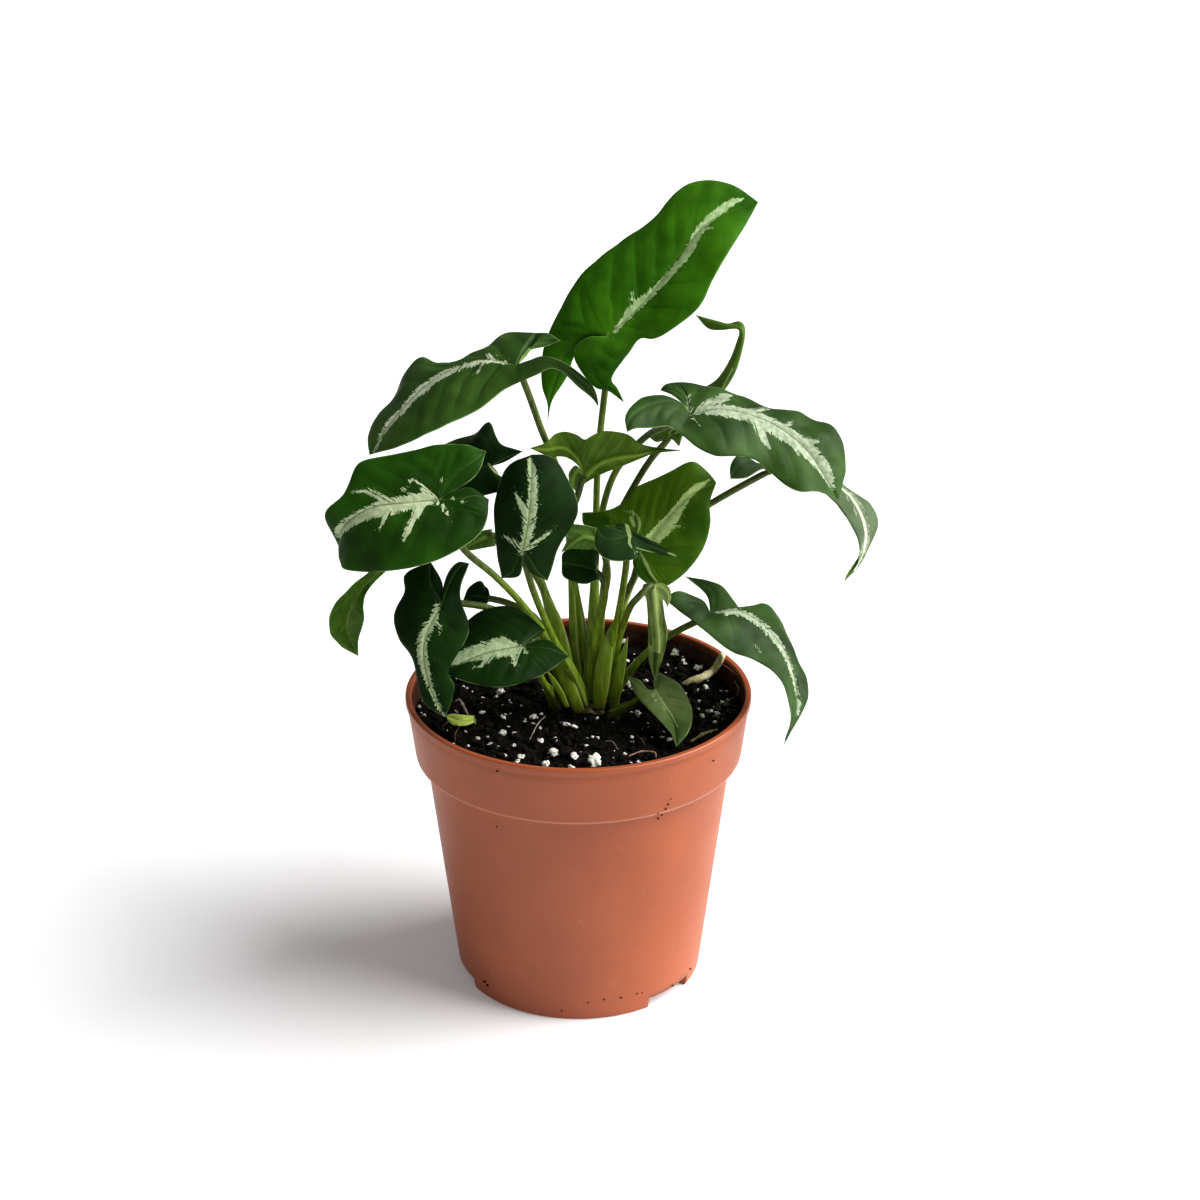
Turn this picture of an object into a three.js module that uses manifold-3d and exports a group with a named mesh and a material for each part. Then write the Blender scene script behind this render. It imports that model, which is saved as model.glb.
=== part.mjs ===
// A potted arrowhead plant: a nursery pot of potting mix with one clump of long-stalked leaves.
// Millimetres, +Z up. The origin is the centre of the pot's underside, on the surface it stands on.
import * as THREE from 'three';
import { mergeVertices } from 'three/addons/utils/BufferGeometryUtils.js';
import Module from 'manifold-3d';

const wasm = await Module();
wasm.setup();

// Pot
const potHeight = 107;
const rimRadius = 60;
const lipWidth = 2.2;
const lipDrop = 2.5;
const collarTopRadius = 59.4;
const collarFootRadius = 56.9;
const collarFoot = 85;
const wallTopRadius = 53.3;
const wallTop = 84;
const footRadius = 43.1;
const wallThickness = 1.4;
const floorUnderside = 4.6;
const floorThickness = 1.6;
const footRingWidth = 3;
const bossRadius = 9;
const notchAngles = [47.5, 167.5, 287.5];
const notchSpan = 27;
const notchHeight = 4.2;
const notchOverrun = 4;
const lipRound = 0.6;
const drainHoleRadius = 3.2;
const drainHoleCircle = 26;
const drainHoleCount = 8;
const potSides = 40;

// Potting mix
const soilLevel = 98.5;
const soilRelief = 1.1;
const soilDip = 3;
const clearance = 0.3;
const soilSides = 32;
const soilRings = [49, 40, 30, 20, 10];
const facetAllowance = 0.15;
const grainCount = 40;
const grainSizes = [1.3, 2.6];
const grainReach = [16, 50];

// A thick pale root that comes up through the soil and leans on the pot's wall
const rootRadius = 1.4;
const rootRoute = [[36.5, 20.5, 93.5], [37.3, 20.8, 97], [39.6, 20.4, 100], [42.6, 20.8, 100.9],
  [45.5, 22.4, 101.5], [47.6, 25.1, 101.8], [49.3, 24.8, 104.1], [50.5, 24.2, 106.7], [51.1, 22.9, 109.9]];

// A seedling beside the rim
const seedling = {
  name: 'seedling',
  midrib: [[-36, -9.8, 100.6], [-40.2, -11.2, 100.8], [-45.6, -8.2, 101]],
  left: [[-35.8, -11, 100], [-38.6, -13.2, 99.9], [-42.6, -13.2, 99.9], [-44.8, -10.8, 100.3]],
  leftNotch: [[-36, -10.4, 100.4]],
  right: [[-35.8, -8.6, 101.3], [-40.5, -8.6, 101.8], [-44.2, -7.6, 101.5]],
  rightNotch: [[-36, -9.2, 101]],
};
const seedlingStemRadius = 0.7;
const seedlingStemSides = 8;
const seedlingDepth = 4;

// Crown of the plant: the stubs that stand in the soil, as centre and radius
const crownStubs = [[4, -0.5, 6], [10.5, 7, 4.4], [-2, 4.5, 4.8], [12, -4.2, 3], [-7.5, 1, 2.6]];
const crownTop = 101;
const crownDepth = 14;
const crownSides = 16;

// Leaf stalks and blades
const stalkSides = 6;
const stalkSteps = 8;
const stalkRadius = 1.15;
const sheathRadius = 2.7;
const sheathShare = 0.4;
const bladeThickness = 0.7;
const jointGap = 0.5;
const wideMesh = { lobeRows: 4, bladeRows: 8, columns: 3 };
const smallMesh = { lobeRows: 3, bladeRows: 5, columns: 2 };
const smallBlade = 30;
const bladeArch = 0.07;

// Each leaf from the crown outwards, as [x, y, z] points. The stalk runs from the crown to just short of the
// joint, where the midrib starts. Left and right margins run from the tip of a basal lobe to the leaf's tip,
// seen from above with the tip ahead, and each notch point lies between the joint and that lobe's tip.
const leaves = [
  {
    name: 'leaf_top',
    midrib: [[10, 12, 232], [21, 16, 241], [33, 24, 254], [44, 32, 265], [61, 39, 270]],
    left: [[-10, 6, 203.5], [-10, 8, 209.5], [-12, 11, 215.5], [-11.5, 15, 225.5], [-8.5, 18, 233.5],
      [0.5, 26, 247.5], [14.5, 33, 258], [25.5, 37, 265], [34, 43, 272.5], [41.5, 46, 275],
      [53.5, 44, 274]],
    leftNotch: [[0, 15, 225.5], [-3.5, 11, 218], [-8.5, 8, 210.5]],
    right: [[16, 18, 206], [13.5, 18, 211.5], [11.5, 17, 215], [16.5, 15, 223.5], [21, 12, 231],
      [26, 10, 232], [31, 9, 235], [40.5, 11, 242.5], [44.5, 15, 249.5], [49.5, 20, 257],
      [56.5, 31, 264.5]],
    rightNotch: [[3.5, 11, 232], [-0.5, 12, 228.5], [-1, 13, 224], [2, 15, 217.5], [6.5, 17, 212],
      [10.5, 18, 210.5]],
    stalk: [[3, 0, 103], [5, 3, 125], [6, 10, 159], [7, 18, 186], [9, 24, 205], [12, 22, 231]],
  },
  {
    name: 'leaf_upper_left',
    midrib: [[-20, -2, 227], [-33, 3, 227], [-49, 3, 219], [-61, -2, 208], [-69, -6, 197]],
    left: [[7, -29, 222.5], [4.5, -25, 224], [0, -19, 225.5], [-4, -14, 228], [-8, -11, 229],
      [-13, -10, 226.5], [-23, -9, 221.5], [-31, -11, 215.5], [-40, -13, 211.5], [-58, -12, 202.5]],
    leftNotch: [[-16, -5, 229.5], [-11, -9, 232.5], [-5.5, -12, 232], [0.5, -18, 230], [5.5, -25, 227]],
    right: [[-5.5, 6, 232.5], [-9.5, 9, 234], [-18.5, 14, 232.5], [-25.5, 17, 230.5], [-30.5, 15, 227.5],
      [-35, 13, 226.5], [-38, 11, 224], [-46, 16, 221.5], [-53, 21, 221.5], [-58, 17, 217.5],
      [-61, 12, 211.5], [-67.5, 6, 206.5], [-70, 2, 201.5]],
    rightNotch: [[-18.5, 1, 228.5], [-15.5, 4, 230], [-10.5, 6, 230.5]],
    stalk: [[1, 0, 103], [-1, 4, 124], [-3, 9, 160], [-7, 11, 185], [-12, 8, 200], [-17, 1, 218]],
  },
  {
    name: 'leaf_right',
    midrib: [[37, -12, 213], [47, -9, 214], [63, -8, 209], [75, -12, 201], [86, -18, 185]],
    left: [[27.5, 2, 216.5], [29.5, 5, 217.5], [42, 8, 216], [54.5, 8, 212], [65, 6, 209],
      [73.5, 4, 208.5], [79, 2, 205.5], [85.5, -1, 204], [89, -6, 197.5], [89, -10, 192.5],
      [87.5, -14, 188.5]],
    leftNotch: [[35, -8, 215], [31.5, -3, 216.5]],
    right: [[16, -25, 212], [19, -24, 213], [24.5, -22, 212.5], [29.5, -21, 212.5], [33.5, -21, 209.5],
      [39, -24, 206], [45, -26, 204], [52, -24, 203], [58, -22, 201], [63, -23, 197], [68, -26, 193.5],
      [72.5, -28, 192], [78.5, -25, 191]],
    rightNotch: [[34.5, -8, 215.5], [31, -7, 217.5], [24.5, -10, 219.5], [19, -15, 219],
      [15.5, -21, 216]],
    stalk: [[5, 2, 102], [5, 5, 135], [8, 8, 169], [13, 9, 185], [23, 5, 199], [31, -5, 207]],
  },
  {
    name: 'leaf_far_right',
    midrib: [[65, 14, 183], [79, 22, 179], [92, 26, 171.5], [98.5, 21, 163.5], [99, 12, 156],
      [91, 0, 148]],
    left: [[58, 28, 189], [67, 35, 188], [82, 36, 180], [93.5, 31, 170], [101.5, 28, 166],
      [104, 24, 161], [101.5, 17, 155.5], [97, 8, 150.5]],
    leftNotch: [[61, 20, 185]],
    right: [[51.5, 4, 184], [57, 6, 183.5], [63, 9, 185.5], [71, 12, 182], [80.5, 15, 177],
      [88, 17, 170], [91, 16, 166], [96, 12, 159], [96, 5, 153.5]],
    rightNotch: [[61, 14, 185.5], [57, 13, 188.5], [53.5, 10, 189.5], [51.5, 7, 187]],
    stalk: [[10, 7, 100], [12, 8, 122], [20, 10, 146], [32, 12, 162.5], [45, 13, 171], [57, 14, 178]],
  },
  {
    name: 'leaf_left',
    midrib: [[-45, -26, 189], [-56, -26, 188], [-67, -25, 186], [-76.5, -22, 178.5], [-79.5, -16, 168]],
    left: [[-29, -26, 189], [-31, -33, 181], [-45, -38, 173], [-61, -38, 169], [-77, -29, 166]],
    leftNotch: [[-36, -24, 192.5]],
    right: [[-30, -16, 202], [-40, -14, 204], [-57, -14, 201], [-72, -14, 197], [-77, -19, 188],
      [-83, -20, 182]],
    rightNotch: [[-33, -21.5, 196]],
    stalk: [[-1, 1, 103], [-6, -5, 121], [-13, -9, 135], [-20, -13, 147], [-28, -17, 158],
      [-38, -20, 169], [-43, -22, 180]],
  },
  {
    name: 'leaf_middle',
    midrib: [[-18, -34, 174], [-16, -31, 184], [-15, -25, 196], [-15, -19, 202]],
    left: [[-25, -33, 164], [-27, -29, 176], [-27, -26, 188], [-23, -20, 198]],
    leftNotch: [[-19, -35, 166]],
    right: [[-10, -33, 163], [-6, -30, 174], [0, -27, 185], [-4, -21, 196], [-9, -18, 201]],
    rightNotch: [[-16, -34, 167]],
    stalk: [[2, -1, 102], [-2, -6, 116], [-8, -13, 132], [-13, -22, 149], [-16, -29, 162]],
  },
  {
    name: 'leaf_bright',
    midrib: [[21, -6, 161], [30, -1, 172], [39, 4, 179], [47, 8, 181]],
    left: [[1.5, 0, 173.5], [7.5, 0, 174], [11.5, 1, 174.5], [16.5, 3, 177], [19.5, 6, 180],
      [29, 9, 183.5], [39, 12, 187], [43.5, 11, 184.5]],
    leftNotch: [[15, -4, 165], [8, -2, 168], [2, -1, 169.5]],
    right: [[27.5, -9, 149], [35, -9, 154], [42, -5, 162], [44.5, -1, 169.5], [44.5, 3, 175.5]],
    rightNotch: [[18.5, -7, 159], [20, -9, 154.5], [23.5, -10, 151.5]],
    stalk: [[10, 7, 101], [12, 3, 125], [15, 0, 140], [19, -3, 151]],
  },
  {
    name: 'leaf_lower_right',
    midrib: [[45, -6, 139], [56, -3, 138], [70, -9, 127], [74, -24, 113], [69, -38, 105]],
    left: [[37, 11, 145], [50, 12, 141], [57, 3, 135], [66, 10, 134], [74, -4, 125], [78, -18, 114]],
    leftNotch: [[44, 4, 141]],
    right: [[29, -9, 145.5], [33, -11, 143], [38.5, -14, 140], [46, -17, 134], [53, -18, 129.5],
      [60.5, -18, 126.5], [67, -20, 122], [70.5, -26, 116.5], [71.5, -32, 112]],
    rightNotch: [[43, -2, 141.5], [39, -4, 144.5], [33.5, -7, 147.5]],
    stalk: [[11, 7, 100], [15, 5, 108], [24, 3, 120], [32, 0, 128], [41, -4, 135]],
  },
  {
    name: 'leaf_lower_left',
    midrib: [[-45, -30, 154], [-51, -36, 141], [-49, -41, 128], [-44, -43, 118]],
    left: [[-36, -23, 165], [-39, -27.5, 156.5], [-36, -33, 145], [-43, -39, 133], [-41, -40, 128]],
    leftNotch: [[-44.5, -26, 158.5], [-42.5, -24, 163], [-39.5, -23, 165.5]],
    right: [[-49, -19, 164], [-58, -20, 159.5], [-58, -23, 155], [-61.5, -27, 148], [-60, -31, 142],
      [-55, -35, 135.5], [-53.5, -38, 129.5], [-51, -41, 122.5]],
    rightNotch: [[-45, -23, 158]],
    stalk: [[-3, 2, 103], [-9, -3, 120], [-18, -7, 134], [-28, -12, 143], [-38, -20, 149]],
  },
  {
    name: 'leaf_low_front',
    midrib: [[-19, -30, 138], [-30, -33, 137], [-39, -35, 134], [-44, -36, 131]],
    left: [[-3, -32, 135], [-13, -39, 131], [-26, -43, 129], [-38, -40, 130]],
    leftNotch: [[-11, -27, 139]],
    right: [[-11, -22, 140], [-22, -14, 145], [-34, -17, 144], [-42, -26, 138]],
    rightNotch: [[-15, -26, 138]],
    stalk: [[-7.5, 1, 100], [-9.5, -3, 107], [-12, -14, 117], [-15, -24, 129]],
  },
  {
    name: 'leaf_left_hanging',
    midrib: [[-62, 8, 156], [-74, 7, 143], [-80, 8, 130], [-77, 13, 114]],
    left: [[-60, 4, 168], [-71, 4, 150.5], [-78, 1, 145], [-84, -2, 139], [-85.5, -2, 134],
      [-83, 4, 123]],
    leftNotch: [[-62, 6, 161]],
    right: [[-52, 12, 159], [-66.5, 8, 148], [-72.5, 4, 143], [-74, 3, 138.5], [-74, 5, 132.5],
      [-76.5, 9, 122]],
    rightNotch: [[-58, 10, 157]],
    stalk: [[-2, 3, 103], [-8, 2, 125], [-13, 5, 145], [-23, 8, 157], [-34, 9, 161], [-49, 9, 160]],
  },
  {
    name: 'leaf_back_centre',
    midrib: [[2, 1, 186], [9, 0, 192], [21, -4, 196], [34, -8, 199]],
    left: [[0, 7, 177.5], [2, 3, 182.5], [8.5, -1, 188], [15, -3, 191.5], [21, -5, 195],
      [25.5, -6.5, 197.5]],
    leftNotch: [[-0.5, 4, 189], [-3, 6, 185.5], [-2.5, 7, 181]],
    right: [[-16, 6, 194.5], [-10.5, 5, 197], [-7.5, 6, 199.5], [-4, 6, 200.5], [0, 4, 200],
      [2.5, 1, 199.5], [5, 0.5, 201.5], [8, 0, 203], [16.5, -2, 202.5], [20.5, -4, 200], [26.5, -4, 198.5]],
    rightNotch: [[0, 3, 189.5], [-4, 4, 192], [-9.5, 5, 192]],
    stalk: [[3, 2, 103], [2, 5, 124], [-2, 6, 152], [-2, -3, 175], [0, -3, 181]],
  },
  {
    name: 'leaf_back_left',
    midrib: [[-30, 26, 180], [-37, 28, 180], [-48, 29, 175], [-57, 28, 167]],
    left: [[-20, 13, 177], [-27, 15, 175], [-40, 17, 171]],
    leftNotch: [[-26, 21, 178]],
    right: [[-19, 30, 184], [-26, 34, 185], [-28.5, 39, 186.5], [-31, 45, 189], [-36, 45, 185],
      [-44, 44, 182.5], [-51, 42, 179]],
    rightNotch: [[-25, 28, 181]],
    stalk: [[-2, 2, 103], [-8, 10, 129], [-17, 17, 153], [-25, 23, 170]],
  },
  {
    name: 'leaf_twisted',
    midrib: [[30, 20, 192], [43, 18, 205], [53, 16, 221], [55, 16, 233], [49, 20, 234], [40, 28, 234]],
    left: [[24.5, 27, 190.5], [28, 25, 195], [42, 21, 210], [47, 20, 214], [50.5, 18, 220],
      [53, 17, 227], [54, 17, 232.5], [48.5, 18, 232], [44, 21, 231.5]],
    leftNotch: [[27, 23, 190]],
    right: [[34.5, 15, 191.5], [36.5, 17, 196], [49, 17, 210], [53, 17, 217], [55.5, 17, 226],
      [56, 17, 233.5], [54.5, 18, 235], [49.5, 21, 233], [44.5, 24, 233]],
    rightNotch: [[32, 18, 193]],
    stalk: [[6, 4, 102], [8, 7, 134], [12, 12, 162], [20, 16, 178], [26, 18, 187]],
  },
  {
    name: 'leaf_young',
    midrib: [[17, -22, 175], [22, -24, 172.5], [27.5, -26, 171], [32.5, -28, 169.5]],
    left: [[11, -19, 176.5], [14, -19, 177.5], [16.5, -19, 177], [18.5, -21, 175.5], [23, -23, 174],
      [27.5, -25, 172]],
    leftNotch: [[14, -21, 176]],
    right: [[6.5, -22, 177.5], [5.5, -25, 174], [7, -28, 170.5], [10, -31, 169.5], [14.5, -32, 169.5],
      [19.5, -31, 170.5], [18, -27, 172], [22.5, -26, 170.5], [28, -27, 169.5]],
    rightNotch: [[11.5, -23, 177.5]],
    stalk: [[7, 1, 103], [11, -2, 123], [14, -7, 141], [16, -14, 159]],
  },
  {
    name: 'leaf_rolled',
    midrib: [[25, -18, 155], [26, -20, 146], [27, -17, 132], [26, -14, 117]],
    left: [[21.5, -18, 153.5], [23, -17, 148], [23.5, -17, 137], [24, -15, 125]],
    leftNotch: [[22, -18, 155]],
    right: [[30, -20, 147.5], [28.5, -19.5, 150], [29, -21, 145], [30, -19, 138], [29, -16, 128]],
    rightNotch: [[27.5, -18, 155.5], [30.5, -19, 154], [31, -20, 151]],
    stalk: [[10, 6, 101], [13, 0, 122], [17, -9, 141], [20, -22, 152]],
  },
  {
    name: 'leaf_on_soil',
    midrib: [[26, -9, 111], [29, -15, 108], [32, -21, 105], [33, -32, 101]],
    left: [[28, 1, 113], [35, -3, 110], [39, -16, 106], [37, -26, 103]],
    leftNotch: [[26, -3, 112]],
    right: [[17, -2, 113], [20, -12, 110], [26, -21, 107], [31, -27, 104]],
    rightNotch: [[24, -9, 111.5], [21, -5, 113]],
    stalk: [[12, -4.2, 100], [15, -5.5, 102.5], [19, -7, 105.5], [23, -8, 108.5]],
  },
  {
    name: 'leaf_small_round',
    midrib: [[-31, 14, 136], [-35, 15, 136], [-40, 16, 134]],
    left: [[-32, 12, 134], [-35, 12, 133], [-38, 13, 133]],
    leftNotch: [[-31, 13, 135]],
    right: [[-32, 18.5, 137.5], [-34, 19, 140], [-38, 18, 138]],
    rightNotch: [[-31, 15, 138]],
    stalk: [[-3, 3, 103], [-8, 5, 118], [-15, 8, 131], [-24, 11, 135]],
  },
  {
    name: 'leaf_inner_dark',
    midrib: [[6, -9, 156], [1, -7, 157], [-5.5, -6, 157.5]],
    left: [[8, -11, 154], [2, -11, 152], [-5, -9, 154]],
    leftNotch: [[7, -10, 154]],
    right: [[7, -4, 161], [1, -2, 162], [-5, -3, 160]],
    rightNotch: [[7, -7, 158]],
    stalk: [[5, 2, 103], [7, -1, 130], [9, -7, 150]],
  },
  {
    name: 'leaf_inner_pale',
    midrib: [[6.5, -14, 169.5], [1.5, -17, 172], [-5.5, -16, 166]],
    left: [[6.5, -16, 174.5], [1.5, -18, 176.5], [-2.5, -18, 176.5], [-3.5, -17, 171]],
    leftNotch: [[6.5, -15, 172]],
    right: [[6.5, -13, 165.5], [1.5, -15, 166.5], [-2.5, -16, 167]],
    rightNotch: [[6.5, -13, 167]],
    stalk: [[4, 1, 103], [6, -2, 131], [10, -9, 155]],
  },
  {
    name: 'leaf_pale_behind',
    midrib: [[-29, 0, 166], [-33, 0, 164], [-39, 2, 160]],
    left: [[-29, -1, 168], [-32, 0, 167], [-36, 1, 164]],
    leftNotch: [[-29, 0, 167]],
    right: [[-28, 1, 161], [-33, 1, 160], [-37, 2, 159]],
    rightNotch: [[-28, 0, 164]],
    stalk: [[-1, 2, 103], [-6, 4, 128], [-15, 3, 150], [-24, 1, 162]],
  },
];

const toVectors = (points) => points.map(([x, y, z]) => new THREE.Vector3(x, y, z));
const curveThrough = (points) => new THREE.CatmullRomCurve3(points, false, 'centripetal');

function toManifold(geometry) {
  const bare = geometry.clone();
  bare.deleteAttribute('normal');
  bare.deleteAttribute('uv');
  const merged = mergeVertices(bare, 1e-3);
  return new wasm.Manifold(new wasm.Mesh({
    numProp: 3,
    vertProperties: new Float32Array(merged.attributes.position.array),
    triVerts: new Uint32Array(merged.index.array),
  }));
}

function toGeometry(solid) {
  const { vertProperties, triVerts } = solid.getMesh();
  const geometry = new THREE.BufferGeometry();
  geometry.setAttribute('position', new THREE.BufferAttribute(new Float32Array(vertProperties), 3));
  geometry.setIndex(new THREE.BufferAttribute(new Uint32Array(triVerts), 1));
  geometry.computeVertexNormals();
  return geometry;
}

function piece(name, geometry, color, roughness) {
  const mesh = new THREE.Mesh(geometry, new THREE.MeshStandardMaterial({ color, roughness, metalness: 0 }));
  mesh.name = name;
  return mesh;
}

// A repeatable stream of numbers from 0 to 1.
function seededRandom(seed) {
  let state = seed;
  return () => {
    state = (state * 16807) % 2147483647;
    return state / 2147483647;
  };
}

function uprightCylinder(x, y, bottom, top, radius, sides) {
  const geometry = new THREE.CylinderGeometry(radius, radius, top - bottom, sides);
  geometry.rotateX(Math.PI / 2);
  geometry.translate(x, y, (bottom + top) / 2);
  return toManifold(geometry);
}

// LatheGeometry turns about Y, so the profile is turned up to stand along Z.
function latheSolid(profile, sides) {
  const geometry = new THREE.LatheGeometry(profile.map(([r, z]) => new THREE.Vector2(r, z)), sides);
  geometry.rotateX(Math.PI / 2);
  return toManifold(geometry);
}

// Radius of the pot's outer face at a height: a tapered wall, and a wider collar above a ledge.
function outerRadius(z) {
  if (z <= wallTop) return THREE.MathUtils.lerp(footRadius, wallTopRadius, z / wallTop);
  const share = (z - collarFoot) / (potHeight - lipDrop - collarFoot);
  return THREE.MathUtils.lerp(collarFootRadius, collarTopRadius, Math.min(share, 1));
}

function makePot() {
  const floorTop = floorUnderside + floorThickness;
  const innerRadius = (z) => outerRadius(z) - wallThickness;
  const lipBottom = potHeight - lipDrop;
  const profile = [
    [0, 0],
    [bossRadius, 0],
    [bossRadius + 1, floorUnderside],
    [footRadius - footRingWidth - 0.6, floorUnderside],
    [footRadius - footRingWidth, 0],
    [footRadius - 0.8, 0],
    [outerRadius(1.2), 1.2],
    [wallTopRadius, wallTop],
    [collarFootRadius, collarFoot],
    [collarTopRadius, lipBottom],
    [rimRadius, lipBottom + lipRound],
    [rimRadius, potHeight - lipRound],
    [rimRadius - lipRound, potHeight],
    [rimRadius - lipWidth + lipRound, potHeight],
    [rimRadius - lipWidth, potHeight - lipRound],
    [innerRadius(lipBottom - lipRound), lipBottom - lipRound],
    [collarFootRadius - wallThickness, collarFoot + wallThickness],
    [wallTopRadius - wallThickness, wallTop + wallThickness],
    [innerRadius(floorTop), floorTop],
    [0, floorTop],
  ];
  let pot = latheSolid(profile, potSides);
  for (let i = 0; i < drainHoleCount; i += 1) {
    const angle = (i * 2 * Math.PI) / drainHoleCount;
    const [x, y] = [drainHoleCircle * Math.cos(angle), drainHoleCircle * Math.sin(angle)];
    pot = pot.subtract(uprightCylinder(x, y, 0, floorTop + 1, drainHoleRadius, 8));
  }
  // Notches in the foot ring leave three feet. Angles are measured from the front, towards +X.
  for (const middle of notchAngles) {
    const half = THREE.MathUtils.degToRad(notchSpan / 2);
    const at = THREE.MathUtils.degToRad(middle);
    const inner = footRadius - footRingWidth - notchOverrun;
    const outer = footRadius + notchOverrun;
    const corner = (r, a) => new THREE.Vector2(r * Math.sin(a), -r * Math.cos(a));
    const shape = new THREE.Shape([
      corner(inner, at - half), corner(outer, at - half), corner(outer, at),
      corner(outer, at + half), corner(inner, at + half),
    ]);
    const depth = notchHeight + notchOverrun;
    const wedge = new THREE.ExtrudeGeometry(shape, { depth, bevelEnabled: false });
    wedge.translate(0, 0, -notchOverrun);
    pot = pot.subtract(toManifold(wedge));
  }
  return piece('pot', toGeometry(pot), 0xb8694f, 0.55);
}

// Height of the soil's surface: lumpy, a little higher at the back and round the crown.
function soilHeight(x, y) {
  const lumps = Math.sin(x * 0.21 + 1) * Math.cos(y * 0.19) + 0.7 * Math.sin(x * 0.43 + y * 0.37 + 2);
  const crown = 1.2 * Math.exp(-(x * x + y * y) / 400);
  return soilLevel + (soilRelief * lumps) / 1.7 + crown + 0.018 * y;
}

function makeSoil() {
  const bottom = floorUnderside + floorThickness + clearance;
  const inset = wallThickness + clearance + facetAllowance;
  const ledgeLift = wallThickness + clearance;
  const profile = [
    [0, bottom],
    [outerRadius(bottom) - inset, bottom],
    [wallTopRadius - inset, wallTop + ledgeLift],
    [collarFootRadius - inset, collarFoot + ledgeLift],
    [outerRadius(soilLevel - soilDip) - inset, soilLevel],
    ...soilRings.map((r) => [r, soilLevel]),
    [0, soilLevel],
  ];
  const geometry = new THREE.LatheGeometry(profile.map(([r, z]) => new THREE.Vector2(r, z)), soilSides);
  geometry.rotateX(Math.PI / 2);
  const position = geometry.attributes.position;
  for (let i = 0; i < position.count; i += 1) {
    const [x, y, z] = [position.getX(i), position.getY(i), position.getZ(i)];
    if (Math.abs(z - soilLevel) < 0.01) position.setZ(i, soilHeight(x, y));
  }
  let soil = toManifold(geometry);
  // Grains of white mineral, sunk by half into the surface.
  const random = seededRandom(7);
  for (let i = 0; i < grainCount; i += 1) {
    const angle = random() * 2 * Math.PI;
    const reach = THREE.MathUtils.lerp(...grainReach, Math.sqrt(random()));
    const [x, y] = [reach * Math.cos(angle), reach * Math.sin(angle)];
    const size = THREE.MathUtils.lerp(...grainSizes, random() ** 2);
    const grain = new THREE.OctahedronGeometry(size, 0);
    grain.rotateX(random() * 3);
    grain.rotateZ(random() * 3);
    grain.scale(1, 0.8, 0.8);
    grain.translate(x, y, soilHeight(x, y));
    soil = soil.add(toManifold(grain));
  }
  for (const [x, y, radius] of crownStubs) {
    const holeFoot = crownTop - crownDepth - clearance;
    const holeTop = crownTop + crownDepth;
    soil = soil.subtract(uprightCylinder(x, y, holeFoot, holeTop, radius + clearance, crownSides));
  }
  const [stemX, stemY] = seedling.midrib[0];
  const stemFoot = soilLevel - seedlingDepth - clearance;
  const stemRadius = seedlingStemRadius + clearance;
  soil = soil.subtract(uprightCylinder(stemX, stemY, stemFoot, crownTop, stemRadius, seedlingStemSides));
  soil = soil.subtract(toManifold(rootTube(rootRadius + clearance, clearance)));
  return piece('soil', toGeometry(soil), 0x1d1713, 0.95);
}

// A closed tube along a curve, whose radius changes with the share of its length.
function sweepTube(curve, radiusAt, steps, sides) {
  const frames = curve.computeFrenetFrames(steps, false);
  const positions = [];
  for (let i = 0; i <= steps; i += 1) {
    const centre = curve.getPointAt(i / steps);
    for (let j = 0; j < sides; j += 1) {
      const angle = (j * 2 * Math.PI) / sides;
      const point = centre.clone();
      point.addScaledVector(frames.normals[i], radiusAt(i / steps) * Math.cos(angle));
      point.addScaledVector(frames.binormals[i], radiusAt(i / steps) * Math.sin(angle));
      positions.push(...point.toArray());
    }
  }
  const index = [];
  for (let i = 0; i < steps; i += 1) {
    for (let j = 0; j < sides; j += 1) {
      const [a, b] = [i * sides + j, i * sides + ((j + 1) % sides)];
      index.push(a, b, b + sides, a, b + sides, a + sides);
    }
  }
  const last = steps * sides;
  for (let j = 1; j < sides - 1; j += 1) {
    index.push(0, j + 1, j, last, last + j, last + j + 1);
  }
  const geometry = new THREE.BufferGeometry();
  geometry.setAttribute('position', new THREE.Float32BufferAttribute(positions, 3));
  geometry.setIndex(index);
  return geometry;
}

// The pale root's tube. Its buried end can be carried on by a little for the hole it stands in.
function rootTube(radius, deeper) {
  const route = toVectors(rootRoute);
  route[0].z -= deeper;
  const taper = (share) => radius * (0.85 + 0.15 * Math.sin(share * Math.PI));
  return sweepTube(curveThrough(route), taper, 12, 8);
}

// All stalks grow from one crown, so they are one body.
function makeStalks() {
  let plant = null;
  for (const [x, y, radius] of crownStubs) {
    const stub = uprightCylinder(x, y, crownTop - crownDepth, crownTop, radius, crownSides);
    plant = plant ? plant.add(stub) : stub;
  }
  const radiusAt = (share) => {
    const sheath = Math.max(0, 1 - share / sheathShare);
    return stalkRadius + (sheathRadius - stalkRadius) * sheath ** 1.3;
  };
  for (const leaf of leaves) {
    const [joint, ahead] = toVectors(leaf.midrib);
    const leftward = toVectors(leaf.left)[1].sub(toVectors(leaf.right)[1]);
    const up = ahead.sub(joint).cross(leftward).normalize();
    const route = toVectors(leaf.stalk);
    const slant = joint.clone().sub(route.at(-1)).normalize().dot(up);
    const reach = stalkRadius * Math.sqrt(1 - slant * slant);
    const end = joint.addScaledVector(up, -reach - bladeThickness / 2 - jointGap);
    const curve = curveThrough([...route, end]);
    plant = plant.add(toManifold(sweepTube(curve, radiusAt, stalkSteps, stalkSides)));
  }
  // Where stalks cross, a sealed pocket can be left between them. The largest shell is the plant.
  const shells = plant.decompose().sort((a, b) => b.volume() - a.volume());
  return piece('stalks', toGeometry(shells[0]), 0x6f8f3c, 0.5);
}

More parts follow.
